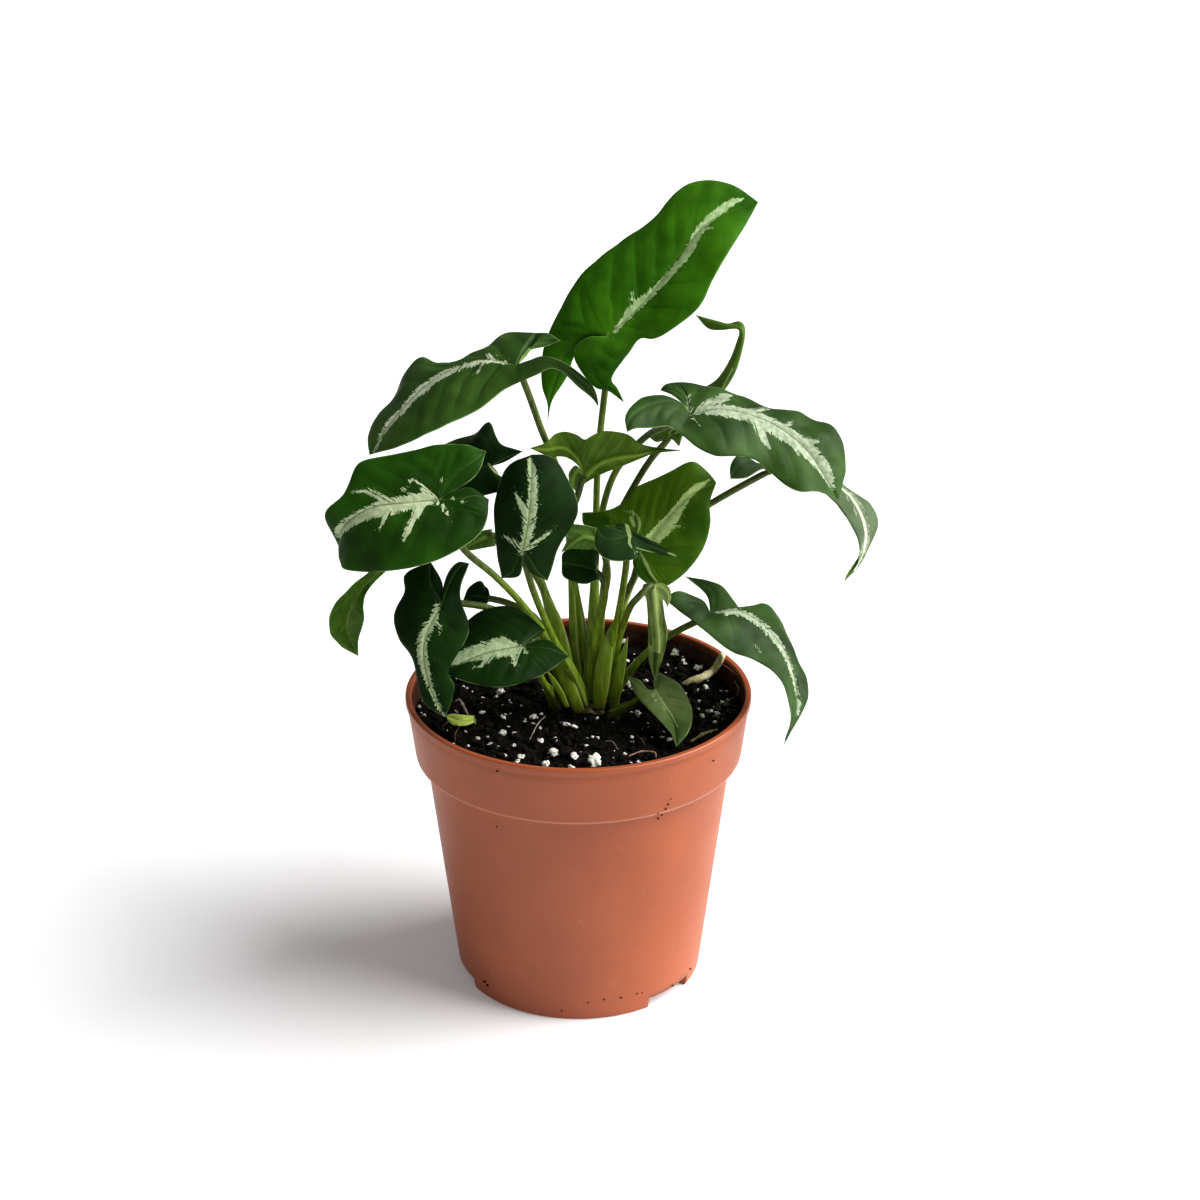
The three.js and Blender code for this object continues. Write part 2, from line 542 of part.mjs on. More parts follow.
// Share of the curve's length where it comes nearest to a point.
function nearestShare(curve, point) {
  let best = 0;
  let nearest = Infinity;
  for (let i = 0; i <= 60; i += 1) {
    const distance = curve.getPointAt(i / 60).distanceTo(point);
    if (distance < nearest) [nearest, best] = [distance, i / 60];
  }
  return THREE.MathUtils.clamp(best, 0.1, 0.6);
}

// Rows of points across one half of a blade, from the tip of its basal lobe to the tip of the leaf.
function halfBladeRows(midrib, margin, notch, side, { lobeRows, bladeRows, columns }) {
  const joint = midrib[0];
  const tip = midrib.at(-1);
  const midribCurve = curveThrough(midrib);
  const notchCurve = curveThrough([margin[0], ...notch.slice().reverse(), joint]);
  const marginCurve = curveThrough([...margin, tip]);
  const abreast = nearestShare(marginCurve, joint);
  const rows = [];
  for (let i = 0; i <= lobeRows + bladeRows; i += 1) {
    const inLobe = i <= lobeRows;
    const share = inLobe ? i / lobeRows : (i - lobeRows) / bladeRows;
    const inner = inLobe ? notchCurve.getPointAt(share) : midribCurve.getPointAt(share);
    const outer = marginCurve.getPointAt(inLobe ? abreast * share : abreast + (1 - abreast) * share);
    const along = inLobe ? notchCurve.getTangentAt(share) : midribCurve.getTangentAt(share);
    const across = outer.clone().sub(inner);
    const up = along.clone().cross(across).multiplyScalar(side).normalize();
    const row = [];
    for (let j = 0; j <= columns; j += 1) {
      const out = j / columns;
      const point = inner.clone().lerp(outer, out);
      point.addScaledVector(up, bladeArch * across.length() * 4 * out * (1 - out));
      row.push(point);
    }
    rows.push(row);
  }
  return rows;
}

function pushTriangle(positions, a, b, c) {
  const tiny = 1e-4;
  if (a.distanceTo(b) < tiny || b.distanceTo(c) < tiny || c.distanceTo(a) < tiny) return;
  positions.push(...a.toArray(), ...b.toArray(), ...c.toArray());
}

// Gives a sheet its thickness: both faces carry the same triangles, and a strip closes the edge.
function thicken(sheet, thickness) {
  sheet.computeVertexNormals();
  const { position, normal } = sheet.attributes;
  const count = position.count;
  const positions = [];
  for (const lift of [thickness / 2, -thickness / 2]) {
    for (let i = 0; i < count; i += 1) {
      positions.push(
        position.getX(i) + lift * normal.getX(i),
        position.getY(i) + lift * normal.getY(i),
        position.getZ(i) + lift * normal.getZ(i),
      );
    }
  }
  const faces = Array.from(sheet.index.array);
  const edges = new Set();
  const index = [];
  for (let i = 0; i < faces.length; i += 3) {
    const [a, b, c] = faces.slice(i, i + 3);
    index.push(a, b, c, a + count, c + count, b + count);
    for (const [from, to] of [[a, b], [b, c], [c, a]]) edges.add(`${from} ${to}`);
  }
  for (const edge of edges) {
    const [from, to] = edge.split(' ').map(Number);
    if (edges.has(`${to} ${from}`)) continue;
    index.push(from, from + count, to + count, from, to + count, to);
  }
  const geometry = new THREE.BufferGeometry();
  geometry.setAttribute('position', new THREE.Float32BufferAttribute(positions, 3));
  geometry.setIndex(index);
  geometry.computeVertexNormals();
  return geometry;
}

function makeBlade(leaf) {
  const midrib = toVectors(leaf.midrib);
  const size = curveThrough(midrib).getLength() < smallBlade ? smallMesh : wideMesh;
  const leftRows = halfBladeRows(midrib, toVectors(leaf.left), toVectors(leaf.leftNotch), 1, size);
  const rightRows = halfBladeRows(midrib, toVectors(leaf.right), toVectors(leaf.rightNotch), -1, size);
  const halves = [{ rows: leftRows, isLeft: true }, { rows: rightRows, isLeft: false }];
  const positions = [];
  for (const { rows, isLeft } of halves) {
    for (let i = 0; i < rows.length - 1; i += 1) {
      for (let j = 0; j < size.columns; j += 1) {
        const [a, b, c, d] = [rows[i][j], rows[i + 1][j], rows[i + 1][j + 1], rows[i][j + 1]];
        if (isLeft) {
          pushTriangle(positions, a, b, c);
          pushTriangle(positions, a, c, d);
        } else {
          pushTriangle(positions, a, c, b);
          pushTriangle(positions, a, d, c);
        }
      }
    }
  }
  const sheet = new THREE.BufferGeometry();
  sheet.setAttribute('position', new THREE.Float32BufferAttribute(positions, 3));
  return piece(leaf.name, thicken(mergeVertices(sheet, 1e-3), bladeThickness), 0x2f5a2a, 0.6);
}

// The seedling is one small blade on a stem that goes down into the soil.
function makeSeedling() {
  const [x, y, z] = seedling.midrib[0];
  const stem = uprightCylinder(x, y, soilLevel - seedlingDepth, z, seedlingStemRadius, seedlingStemSides);
  const blade = toManifold(makeBlade(seedling).geometry);
  return piece(seedling.name, toGeometry(blade.add(stem)), 0x8fae3f, 0.5);
}

const plant = new THREE.Group();
plant.add(makePot(), makeSoil(), makeStalks(), ...leaves.map(makeBlade));
plant.add(piece('old_root', rootTube(rootRadius, 0), 0xb5a564, 0.7), makeSeedling());

export default plant;
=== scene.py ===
import math
import random

import bpy
import numpy as np
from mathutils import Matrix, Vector, noise


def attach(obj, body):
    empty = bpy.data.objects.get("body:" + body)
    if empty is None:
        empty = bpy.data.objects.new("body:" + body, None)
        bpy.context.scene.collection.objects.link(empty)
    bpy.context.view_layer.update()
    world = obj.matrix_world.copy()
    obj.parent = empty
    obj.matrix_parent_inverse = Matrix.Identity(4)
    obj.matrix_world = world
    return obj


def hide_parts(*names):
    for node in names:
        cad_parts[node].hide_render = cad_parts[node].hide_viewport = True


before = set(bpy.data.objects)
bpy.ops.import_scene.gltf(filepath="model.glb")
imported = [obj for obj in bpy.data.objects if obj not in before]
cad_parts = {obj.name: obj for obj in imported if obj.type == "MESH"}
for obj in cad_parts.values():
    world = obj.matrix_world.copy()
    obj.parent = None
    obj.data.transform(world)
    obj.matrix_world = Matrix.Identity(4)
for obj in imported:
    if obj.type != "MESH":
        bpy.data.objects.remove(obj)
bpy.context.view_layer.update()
mm = 0.001    # the plant is measured in millimetres, the scene is in metres


# A shader socket that takes part in sums and products as a number does.
class Wire:
    def __init__(self, tree, socket=None):
        self.tree = tree
        self.socket = socket

    def node(self, kind, settings=None, sockets=None, out=0):
        made = self.tree.nodes.new(kind)
        for key, value in (settings or {}).items():
            setattr(made, key, value)
        for key, value in (sockets or {}).items():
            if isinstance(value, Wire):
                self.tree.links.new(value.socket, made.inputs[key])
            else:
                made.inputs[key].default_value = value
        return Wire(self.tree, made.outputs[out])

    def math(self, operation, *values):
        return self.node("ShaderNodeMath", {"operation": operation}, dict(enumerate(values)))

    def __add__(self, other):
        return self.math("ADD", self, other)

    def __sub__(self, other):
        return self.math("SUBTRACT", self, other)

    def __rsub__(self, other):
        return self.math("SUBTRACT", other, self)

    def __mul__(self, other):
        return self.math("MULTIPLY", self, other)

    __radd__ = __add__
    __rmul__ = __mul__

    def larger(self, other):
        return self.math("MAXIMUM", self, other)

    # 0 below low, 1 above high, with a soft step between; high may be the smaller one
    def step(self, low, high):
        if high < low:
            return 1 - self.step(high, low)
        settings = {"interpolation_type": "SMOOTHSTEP"}
        return self.node("ShaderNodeMapRange", settings, {"Value": self, "From Min": low, "From Max": high})

    # colour that goes from one to the other as this value goes from 0 to 1
    def blend(self, first, second):
        settings = {"data_type": "RGBA"}
        sockets = {"Factor": self, 6: tint(first), 7: tint(second)}
        return self.node("ShaderNodeMix", settings, sockets, out=2)

    def attribute(self, name):
        return self.node("ShaderNodeAttribute", {"attribute_name": name}, out="Fac")

    # noise around 0.5, on a grain size in millimetres
    def grain(self, size, detail=3, stretch=None, seed=0):
        place = self.node("ShaderNodeTexCoord", out="Object")
        scale = stretch or (1, 1, 1)
        sockets = {"Vector": place, "Scale": tuple(s / (size * mm) for s in scale),
                   "Location": (seed * 3.7, seed * 1.9, seed * 5.3)}
        moved = self.node("ShaderNodeMapping", {"vector_type": "POINT"}, sockets)
        return self.node("ShaderNodeTexNoise", None, {"Vector": moved, "Scale": 1.0, "Detail": detail})

    # distance from the middles of cells of this size in millimetres
    def cells(self, size):
        place = self.node("ShaderNodeTexCoord", out="Object")
        sockets = {"Vector": place, "Scale": (1 / (size * mm),) * 3, "Location": (2.3, 1, 4.1)}
        moved = self.node("ShaderNodeMapping", {"vector_type": "POINT"}, sockets)
        return self.node("ShaderNodeTexVoronoi", {"feature": "F1"}, {"Vector": moved, "Scale": 1.0})


def tint(colour):
    if isinstance(colour, Wire):
        return colour
    return (*colour, 1.0)


def newMaterial(name):
    material = bpy.data.materials.new(name)
    material.use_nodes = True
    material.node_tree.nodes.clear()
    return material, Wire(material.node_tree)


# Gives a material its shader. Height is in millimetres, and fixed values go by the socket's name.
def finish(material, wire, colour, roughness, height=None, gloss=0.5, fixed=None):
    sockets = {"Base Color": tint(colour), "Roughness": roughness, "Specular IOR Level": gloss}
    sockets.update(fixed or {})
    if height is not None:
        bump = {"Height": height, "Distance": mm, "Strength": 1.0}
        sockets["Normal"] = wire.node("ShaderNodeBump", None, bump)
    shader = wire.node("ShaderNodeBsdfPrincipled", None, sockets)
    output = wire.tree.nodes.new("ShaderNodeOutputMaterial")
    wire.tree.links.new(shader.socket, output.inputs["Surface"])
    return material


# Meshes

def unit(vectors):
    return vectors / np.maximum(np.linalg.norm(vectors, axis=-1, keepdims=True), 1e-9)


def smoothStep(values, low, high):
    share = np.clip((values - low) / (high - low), 0, 1)
    return share * share * (3 - 2 * share)


# Makes an object of points in millimetres that rides on the part's one body.
def addPiece(name, points, faces, materials, replaced=(), faceSlots=None, fields=None):
    mesh = bpy.data.meshes.new(name)
    mesh.from_pydata((np.asarray(points) * mm).tolist(), [], faces)
    for material in materials:
        mesh.materials.append(material)
    if faceSlots is not None:
        mesh.polygons.foreach_set("material_index", np.asarray(faceSlots, dtype=np.int32))
    for field, values in (fields or {}).items():
        layer = mesh.attributes.new(field, "FLOAT", "POINT")
        layer.data.foreach_set("value", np.asarray(values, dtype=np.float32))
    mesh.shade_smooth()
    mesh.update()
    piece = bpy.data.objects.new(name, mesh)
    bpy.context.scene.collection.objects.link(piece)
    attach(piece, "root")
    if replaced:
        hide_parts(*replaced)
    return piece


# A curve through points, read by share of its length.
class SmoothCurve:
    def __init__(self, points, samples=480):
        held = np.asarray(points, float)
        held = np.vstack([2 * held[0] - held[1], held, 2 * held[-1] - held[-2]])
        spans = len(held) - 3
        dense = []
        for k in range(spans):
            a, b, c, d = held[k:k + 4]
            ta, tb, tc = [max(math.sqrt(np.linalg.norm(v)), 1e-4) for v in (b - a, c - b, d - c)]
            m1 = ((b - a) / ta - (c - a) / (ta + tb) + (c - b) / tb) * tb
            m2 = ((c - b) / tb - (d - b) / (tb + tc) + (d - c) / tc) * tb
            w = np.linspace(0, 1, samples // spans, endpoint=False)[:, None]
            bend = (-3 * b + 3 * c - 2 * m1 - m2) * w ** 2 + (2 * b - 2 * c + m1 + m2) * w ** 3
            dense.append(b + m1 * w + bend)
        dense.append(held[-2][None])
        self.dense = np.vstack(dense)
        steps = np.linalg.norm(np.diff(self.dense, axis=0), axis=1)
        self.length = float(steps.sum())
        self.shares = np.concatenate([[0], np.cumsum(steps)]) / self.length

    def at(self, share):
        share = np.atleast_1d(share)
        return np.stack([np.interp(share, self.shares, self.dense[:, k]) for k in range(3)], axis=-1)

    def tangent(self, share, reach=0.004):
        share = np.atleast_1d(share)
        return unit(self.at(np.clip(share + reach, 0, 1)) - self.at(np.clip(share - reach, 0, 1)))


def circle(radius, z, sides, shift=0):
    turns = [2 * math.pi * (k + shift) / sides for k in range(sides)]
    return [(radius * math.cos(a), radius * math.sin(a), z) for a in turns]


# Faces between neighbouring rings of point numbers; a ring may be one point, held many times.
def ringFaces(rings, turned=False):
    faces = []
    for near, far in zip(rings, rings[1:]):
        for k in range(len(near)):
            n = (k + 1) % len(near)
            corners = (near[k], near[n], far[n], far[k])
            if turned:
                corners = corners[:1] + corners[:0:-1]
            faces.append(tuple(dict.fromkeys(corners)))
    return faces


# Rings round a curve; the radius may vary with the share of its length and the angle.
def tubeRings(curve, radiusAt, sides, steps):
    shares = np.linspace(0, 1, steps + 1)
    centres, tangents = curve.at(shares), curve.tangent(shares, 0.01)
    side = unit(np.cross(tangents[0], (0.3, 1, 0.2)))
    rings = []
    for i in range(steps + 1):
        side = unit(side - tangents[i] * np.dot(side, tangents[i]))
        other = np.cross(tangents[i], side)
        ring = []
        for k in range(sides):
            a = 2 * math.pi * k / sides
            r = radiusAt(shares[i], a)
            ring.append(centres[i] + side * r * math.cos(a) + other * r * math.sin(a))
        rings.append(ring)
    return np.array(rings), shares


def closedTube(rings, first):
    count, sides = rings.shape[:2]
    numbers = np.arange(first, first + count * sides).reshape(count, sides).tolist()
    ends = [tuple(reversed(numbers[0])), tuple(numbers[-1])]
    return rings.reshape(-1, 3).tolist(), ringFaces(numbers) + ends


# Camera, floor and light

camera = {
    "lens": 84.1,
    "sensor": 36,
    "place": (0, -0.8739, 0.5361),
    "tilt": 24.32,        # degrees below level
    "turn": -0.491,
}
studio = {
    "floorSize": 12,
    "floorColour": (0.77, 0.77, 0.77),
    "floorGlow": 0.11,
    "fill": 0.225,
    "sunStrength": 5.6,
    "sunWidth": 58,        # degrees across
    "sunHeight": 37,
    "sunSide": 87,         # degrees from the front, towards the right
    "look": "Medium High Contrast",
}


def setCamera():
    made = bpy.data.objects.new("camera", bpy.data.cameras.new("camera"))
    made.data.lens = camera["lens"]
    made.data.sensor_width = camera["sensor"]
    made.data.clip_end = 50
    made.location = camera["place"]
    made.rotation_euler = (math.radians(90 - camera["tilt"]), 0, math.radians(camera["turn"]))
    bpy.context.scene.collection.objects.link(made)
    bpy.context.scene.camera = made


def setStudio():
    half = studio["floorSize"] / 2
    mesh = bpy.data.meshes.new("floor")
    corners = [(-half, -half, 0), (half, -half, 0), (half, half, 0), (-half, half, 0)]
    mesh.from_pydata(corners, [], [(0, 1, 2, 3)])
    material, wire = newMaterial("floorPaint")
    glow = {"Emission Color": (1, 1, 1, 1), "Emission Strength": studio["floorGlow"]}
    finish(material, wire, studio["floorColour"], 0.9, None, 0.1, glow)
    mesh.materials.append(material)
    floor = bpy.data.objects.new("floor", mesh)
    bpy.context.scene.collection.objects.link(floor)

    lamp = bpy.data.lights.new("sun", "SUN")
    lamp.energy = studio["sunStrength"]
    lamp.angle = math.radians(studio["sunWidth"])
    sun = bpy.data.objects.new("sun", lamp)
    side = math.radians(studio["sunSide"])
    height = math.radians(studio["sunHeight"])
    level = math.cos(height)
    towards = Vector((level * math.sin(side), -level * math.cos(side), math.sin(height)))
    sun.rotation_euler = towards.to_track_quat("Z", "Y").to_euler()
    bpy.context.scene.collection.objects.link(sun)

    world = bpy.data.worlds.new("studio")
    bpy.context.scene.world = world
    world.use_nodes = True
    sky = world.node_tree.nodes["Background"]
    sky.inputs["Color"].default_value = (1, 1, 1, 1)
    sky.inputs["Strength"].default_value = studio["fill"]
    bpy.context.scene.view_settings.view_transform = "Standard"
    bpy.context.scene.view_settings.look = studio["look"]


setCamera()
setStudio()
print("camera, floor and light are set")


# Pot

pot = {
    "height": 107, "rimRadius": 60, "lipWidth": 2.2, "lipDrop": 2.5, "lipRound": 0.6,
    "collarTopRadius": 59.4, "collarFootRadius": 56.9, "collarFoot": 85, "collarRound": 0.4,
    "wallTopRadius": 53.3, "wallTop": 84, "footRadius": 43.1, "wall": 1.4,
    "floorUnderside": 4.6, "floorThickness": 1.6, "footRingWidth": 3, "footRound": 0.9,
    "bossRadius": 9, "bossRound": 0.4,
    "notchAngles": (47.5, 167.5, 287.5), "notchSpan": 27, "notchHeight": 4.2,
    "holeRadius": 3.2, "holeCircle": 26, "holeCount": 8, "cutOverrun": 4, "sides": 240,
    "grooveHeight": 103.6, "grooveDepth": 0.35,
}


def outerRadius(z):
    if z <= pot["wallTop"]:
        return pot["footRadius"] + (pot["wallTopRadius"] - pot["footRadius"]) * z / pot["wallTop"]
    share = (z - pot["collarFoot"]) / (pot["height"] - pot["lipDrop"] - pot["collarFoot"])
    return pot["collarFootRadius"] + (pot["collarTopRadius"] - pot["collarFootRadius"]) * min(share, 1)


def arc(centreR, centreZ, radius, start, end, steps):
    angles = [math.radians(start + (end - start) * i / steps) for i in range(steps + 1)]
    return [(centreR + radius * math.cos(a), centreZ + radius * math.sin(a)) for a in angles]


# Half section of the pot from the middle of its underside round to the middle of its floor.
def potSection():
    foot, top, wall = pot["footRadius"], pot["height"], pot["wall"]
    low, floorTop = pot["floorUnderside"], pot["floorUnderside"] + pot["floorThickness"]
    lipBottom = top - pot["lipDrop"]
    ring = foot - pot["footRingWidth"]
    boss, rounded = pot["bossRadius"], pot["bossRound"]
    section = [(0, 0), (boss - rounded, 0), (boss, rounded), (boss + 1, low)]
    section += [(ring - 1.6, low), (ring - 0.6, low - 0.6), (ring - 0.1, 0.5), (ring + 0.3, 0)]
    rounded = pot["footRound"]
    section += arc(foot - rounded, rounded, rounded, -90, -5, 5)
    section += [(outerRadius(z), z) for z in np.linspace(2, pot["wallTop"] - 0.6, 20)]
    collar, foot, rounded = pot["collarFootRadius"], pot["collarFoot"], pot["collarRound"]
    section += [(pot["wallTopRadius"] + 0.25, pot["wallTop"]), (collar - 1.2, foot - 0.25)]
    section += arc(collar - rounded, foot + rounded, rounded, -80, 0, 5)
    section += [(outerRadius(z), z) for z in np.linspace(foot + 1.2, pot["grooveHeight"] - 0.7, 8)]
    groove = pot["grooveHeight"]
    section.append((outerRadius(groove) - pot["grooveDepth"], groove))
    section.append((outerRadius(groove + 0.5), groove + 0.5))
    section += [(outerRadius(lipBottom), lipBottom), (pot["rimRadius"] - 0.3, lipBottom + 0.1)]
    rounded = pot["lipRound"]
    section += arc(pot["rimRadius"] - rounded, lipBottom + rounded + 0.1, rounded, -60, 0, 3)
    section += arc(pot["rimRadius"] - rounded, top - rounded, rounded, 0, 90, 5)
    inner = pot["rimRadius"] - pot["lipWidth"]
    section += arc(inner + rounded, top - rounded, rounded, 90, 180, 5)
    section.append((outerRadius(lipBottom) - wall, lipBottom - 0.8))
    section += [(outerRadius(z) - wall, z) for z in np.linspace(lipBottom - 3, foot + wall + 0.6, 7)]
    section += [(collar - wall, foot + wall), (pot["wallTopRadius"] - wall, pot["wallTop"] + wall)]
    section += [(outerRadius(z) - wall, z) for z in np.linspace(pot["wallTop"] - 1, floorTop + 1, 12)]
    section += [(outerRadius(floorTop) - wall - 1, floorTop), (0, floorTop)]
    return section


def latheMesh(section, sides):
    points, rings = [], []
    for r, z in section:
        if r < 1e-6:
            rings.append([len(points)] * sides)
            points.append((0, 0, z))
        else:
            rings.append(list(range(len(points), len(points) + sides)))
            points += circle(r, z, sides)
    return points, ringFaces(rings)


def cutter(name, points, faces):
    mesh = bpy.data.meshes.new(name)
    mesh.from_pydata((np.asarray(points) * mm).tolist(), [], faces)
    made = bpy.data.objects.new(name, mesh)
    bpy.context.scene.collection.objects.link(made)
    return made


def prism(outline, bottom, top):
    count = len(outline)
    points = [(x, y, bottom) for x, y in outline] + [(x, y, top) for x, y in outline]
    faces = [tuple(reversed(range(count))), tuple(range(count, 2 * count))]
    faces += [(i, (i + 1) % count, (i + 1) % count + count, i + count) for i in range(count)]
    return points, faces


def notchCutters():
    half, over = math.radians(pot["notchSpan"] / 2), pot["cutOverrun"]
    inner, outer = pot["footRadius"] - pot["footRingWidth"] - over, pot["footRadius"] + over
    made = []
    for middle in pot["notchAngles"]:
        spread = [math.radians(middle) - half + 2 * half * i / 12 for i in range(13)]
        outline = [(outer * math.sin(a), -outer * math.cos(a)) for a in spread]
        outline += [(inner * math.sin(a), -inner * math.cos(a)) for a in reversed(spread)]
        made.append(cutter("notch", *prism(outline, -over, pot["notchHeight"])))
    return made


def drainCutters():
    made = []
    for x, y, _ in circle(pot["holeCircle"], 0, pot["holeCount"]):
        outline = [(x + u, y + v) for u, v, _ in circle(pot["holeRadius"], 0, 24)]
        made.append(cutter("drain", *prism(outline, 1, pot["floorUnderside"] + pot["cutOverrun"])))
    return made


def makePot(material):
    points, faces = latheMesh(potSection(), pot["sides"])
    piece = addPiece("pot_shell", points, faces, [material], ("pot",))
    group = bpy.data.collections.new("potCutters")
    cutters = notchCutters() + drainCutters()
    for made in cutters:
        group.objects.link(made)
    cut = piece.modifiers.new("cut", "BOOLEAN")
    cut.operation = "DIFFERENCE"
    cut.operand_type = "COLLECTION"
    cut.collection = group
    cut.solver = "EXACT"
    applyModifiers(piece)
    for made in cutters:
        bpy.data.objects.remove(made)
    bpy.data.collections.remove(group)
    markPot(piece.data)


# Marks the inner wall, which gets painted shade, and the edge at the collar's foot, which gets a painted
# highlight.
def markPot(mesh):
    inside = mesh.attributes.new("inside", "FLOAT", "POINT")
    ledge = mesh.attributes.new("ledge", "FLOAT", "POINT")
    for point in mesh.vertices:
        x, y, z = point.co / mm
        r = math.hypot(x, y)
        within = r < outerRadius(z) - pot["wall"] * 0.6 and pot["floorUnderside"] + 1 < z < pot["height"] - 2
        inside.data[point.index].value = 1 if within else 0
        edge = r > pot["collarFootRadius"] - 0.5 and abs(z - pot["collarFoot"] - 0.3) < 0.45
        ledge.data[point.index].value = 1 if edge else 0


# Gives a piece the mesh that its modifiers make.
def applyModifiers(piece):
    shaped = piece.evaluated_get(bpy.context.evaluated_depsgraph_get())
    mesh = bpy.data.meshes.new_from_object(shaped)
    piece.modifiers.clear()
    piece.data = mesh


def potFinish():
    material, wire = newMaterial("pot_plastic")
    cloudy = wire.grain(30, 4).step(0.35, 0.7)
    colour = cloudy.blend((0.330, 0.079, 0.025), (0.37, 0.093, 0.030))
    dusty = wire.grain(3.5, 6, (1, 1, 0.5), 2).step(0.6, 0.82) * 0.12
    colour = dusty.blend(colour, (0.52, 0.25, 0.16))
    # painted shade: the inner wall above the mix darkened almost to black, a little patchy
    innerShade = wire.attribute("inside") * (0.8 + wire.grain(5, 5, None, 7).step(0.4, 0.65) * 0.16)
    colour = innerShade.blend(colour, (0.022, 0.010, 0.006))
    # painted highlight: a pale line along the edge at the collar's foot
    colour = (wire.attribute("ledge") * 0.28).blend(colour, (0.74, 0.42, 0.30))
    rough = 0.4 + wire.grain(9, 5, None, 4) * 0.12
    height = wire.grain(0.7, 3) * 0.02 + wire.grain(12, 2, None, 1) * 0.1
    return finish(material, wire, colour, rough, height, 0.6)


makePot(potFinish())
print("pot is made")


# Potting mix

soil = {
    "level": 98.5, "relief": 1.1, "clear": 0.3, "edgeDrop": 1.2, "rings": 62, "sides": 300,
    "sideHeights": (50, 25), "collarHeight": 92, "strewRadius": 56,
    "crumbs": 1500, "crumbSizes": (0.4, 1.8), "perlite": 190, "perliteSizes": (0.3, 0.75),
    "crown": [(4, -0.5, 6), (10.5, 7, 4.4), (-2, 4.5, 4.8), (12, -4.2, 3), (-7.5, 1, 2.6)],
    # the larger white grains: x, y and size
    "whiteGrains": [
        (5, -38.5, 2.4), (-11, -39, 1.6), (-8.5, -31, 1.8), (-1.5, -35, 1.3), (-4.5, -13, 1.5),
        (-1.5, -14, 1.3), (-19.5, -32.5, 1.1), (-21, -35.5, 1.1), (-26, -7, 1.2), (16.5, 51.5, 1.5),
        (35, 43, 1.6), (37.5, 36.5, 1.1), (43, 33, 1.3), (17.5, 18, 1.6), (14.5, 29, 1.1),
        (20.5, -1.5, 1.3), (45, 15, 1.1), (42, 14.5, 1.1), (48, -1.5, 1.1), (46, -1.5, 1.1),
        (41.5, 1, 0.8), (50.5, 7, 0.8), (52.5, 8.5, 0.9), (43, -4, 0.9), (28.5, -19, 0.7),
        (31, -22, 0.9), (1, -31, 0.7), (-2.5, -40, 1.1), (-24, 6.5, 0.6), (12, -1, 0.9), (6.5, -8, 0.7),
        (-15.5, -5, 1.3), (-26, -14.5, 1.5), (-22, -15.5, 1.1), (-13, -23, 1.1), (9, 27.5, 0.7),
        (17.5, 40, 0.9), (24, 21.5, 0.9), (-33.5, -1.5, 1.1), (-30, -23, 0.9), (-27.5, -26, 0.9),
        (-22, -26, 0.9), (-25, -32, 0.9), (-27.5, 14, 1.6), (21.5, 8, 0.7), (37.5, 41, 0.7),
        (46, 24, 0.7), (27, 8, 0.6), (52.5, 15, 0.7), (-34.5, -18.5, 0.7), (-37.5, -26, 0.7),
        (-8, -22.5, 0.7), (42.5, 8, 0.7), (47, -9, 0.7), (35, -13.5, 0.7),
    ],
    # fine roots and a twig that lie on the mix: tone, radius and path
    "threads": [
        ("pink", 0.3, [(49.2, 29.8, 103.6), (52.6, 22.4, 104.8), (56, 13.8, 105.6)]),
        ("pale", 0.2, [(55, 14.7, 103), (56.2, 7.9, 102.6), (55.2, 9.7, 99.4)]),
        ("pale", 0.2, [(51.1, 2.2, 99.8), (53.2, 6.2, 100), (55.2, 9, 99.6)]),
        ("pink", 0.25, [(16.6, -36, 99.6), (21.4, -33.1, 100), (25.7, -33.9, 99.9), (26, -36.8, 99.5)]),
        ("pale", 0.22, [(-11.3, -5, 99.4), (-13.9, -12.7, 100.4), (-16.6, -23.2, 99.6)]),
        ("pale", 0.2, [(8.6, -24.9, 99.7), (11.3, -26.4, 100.3), (13.3, -30.9, 99.6)]),
        ("brown", 0.25, [(-41.4, -15.5, 99.8), (-42.2, -20.8, 100.2), (-42, -24.5, 99.6)]),
        ("brown", 0.22, [(-47, -13.9, 99.8), (-44.3, -10.9, 100.4), (-40.7, -14.7, 99.9)]),
        ("moss", 0.6, [(37.9, -25.2, 99.4), (42.8, -20.7, 100.2), (47.5, -16.3, 99.6)]),
        ("brown", 0.22, [(19.6, -19.8, 99.6), (21.6, -25, 100.1), (22.5, -27.3, 99.5)]),
        ("pale", 0.5, [(-43.2, 5.3, 100), (-41.8, 5.8, 100.4), (-40.2, 1.4, 100.2),
                     (-38.3, -4.8, 99.6)]),
    ],
    "moss": {"count": 90, "middle": (50.5, 0), "reach": (4.5, 8), "sizes": (0.35, 0.9), "edge": 55.6},
    # bits of mix stuck to the pot: degrees from the front towards the right, height and size
    "specks": [
        (-27.1, 103, 0.4), (-31.7, 77.7, 0.32), (50.4, 98.6, 0.38), (28.2, 83.2, 0.4), (29.2, 84.6, 0.45),
        (30.4, 86.8, 0.4), (31.4, 88.4, 0.35), (30.2, 81.2, 0.4), (27.6, 85.6, 0.3), (32.2, 90.2, 0.3),
        (3.8, 7.5, 0.4), (11.1, 8.3, 0.38), (19.1, 8, 0.45), (-8.1, 3.7, 0.4), (-49.3, 6.6, 0.6),
        (-47.5, 5.8, 0.5), (63.9, 5.7, 0.45), (48.4, 4.8, 0.4), (27.1, 8.1, 0.35), (29.7, 7.9, 0.3),
    ],
}


# Height of the mix, lumpy and raised a little round the crown and towards the back
def soilHeight(x, y):
    lumps = math.sin(x * 0.21 + 1) * math.cos(y * 0.19) + 0.7 * math.sin(x * 0.43 + y * 0.37 + 2)
    crown = 1.2 * math.exp(-(x * x + y * y) / 400)
    return soil["level"] + soil["relief"] * lumps / 1.7 + crown + 0.018 * y


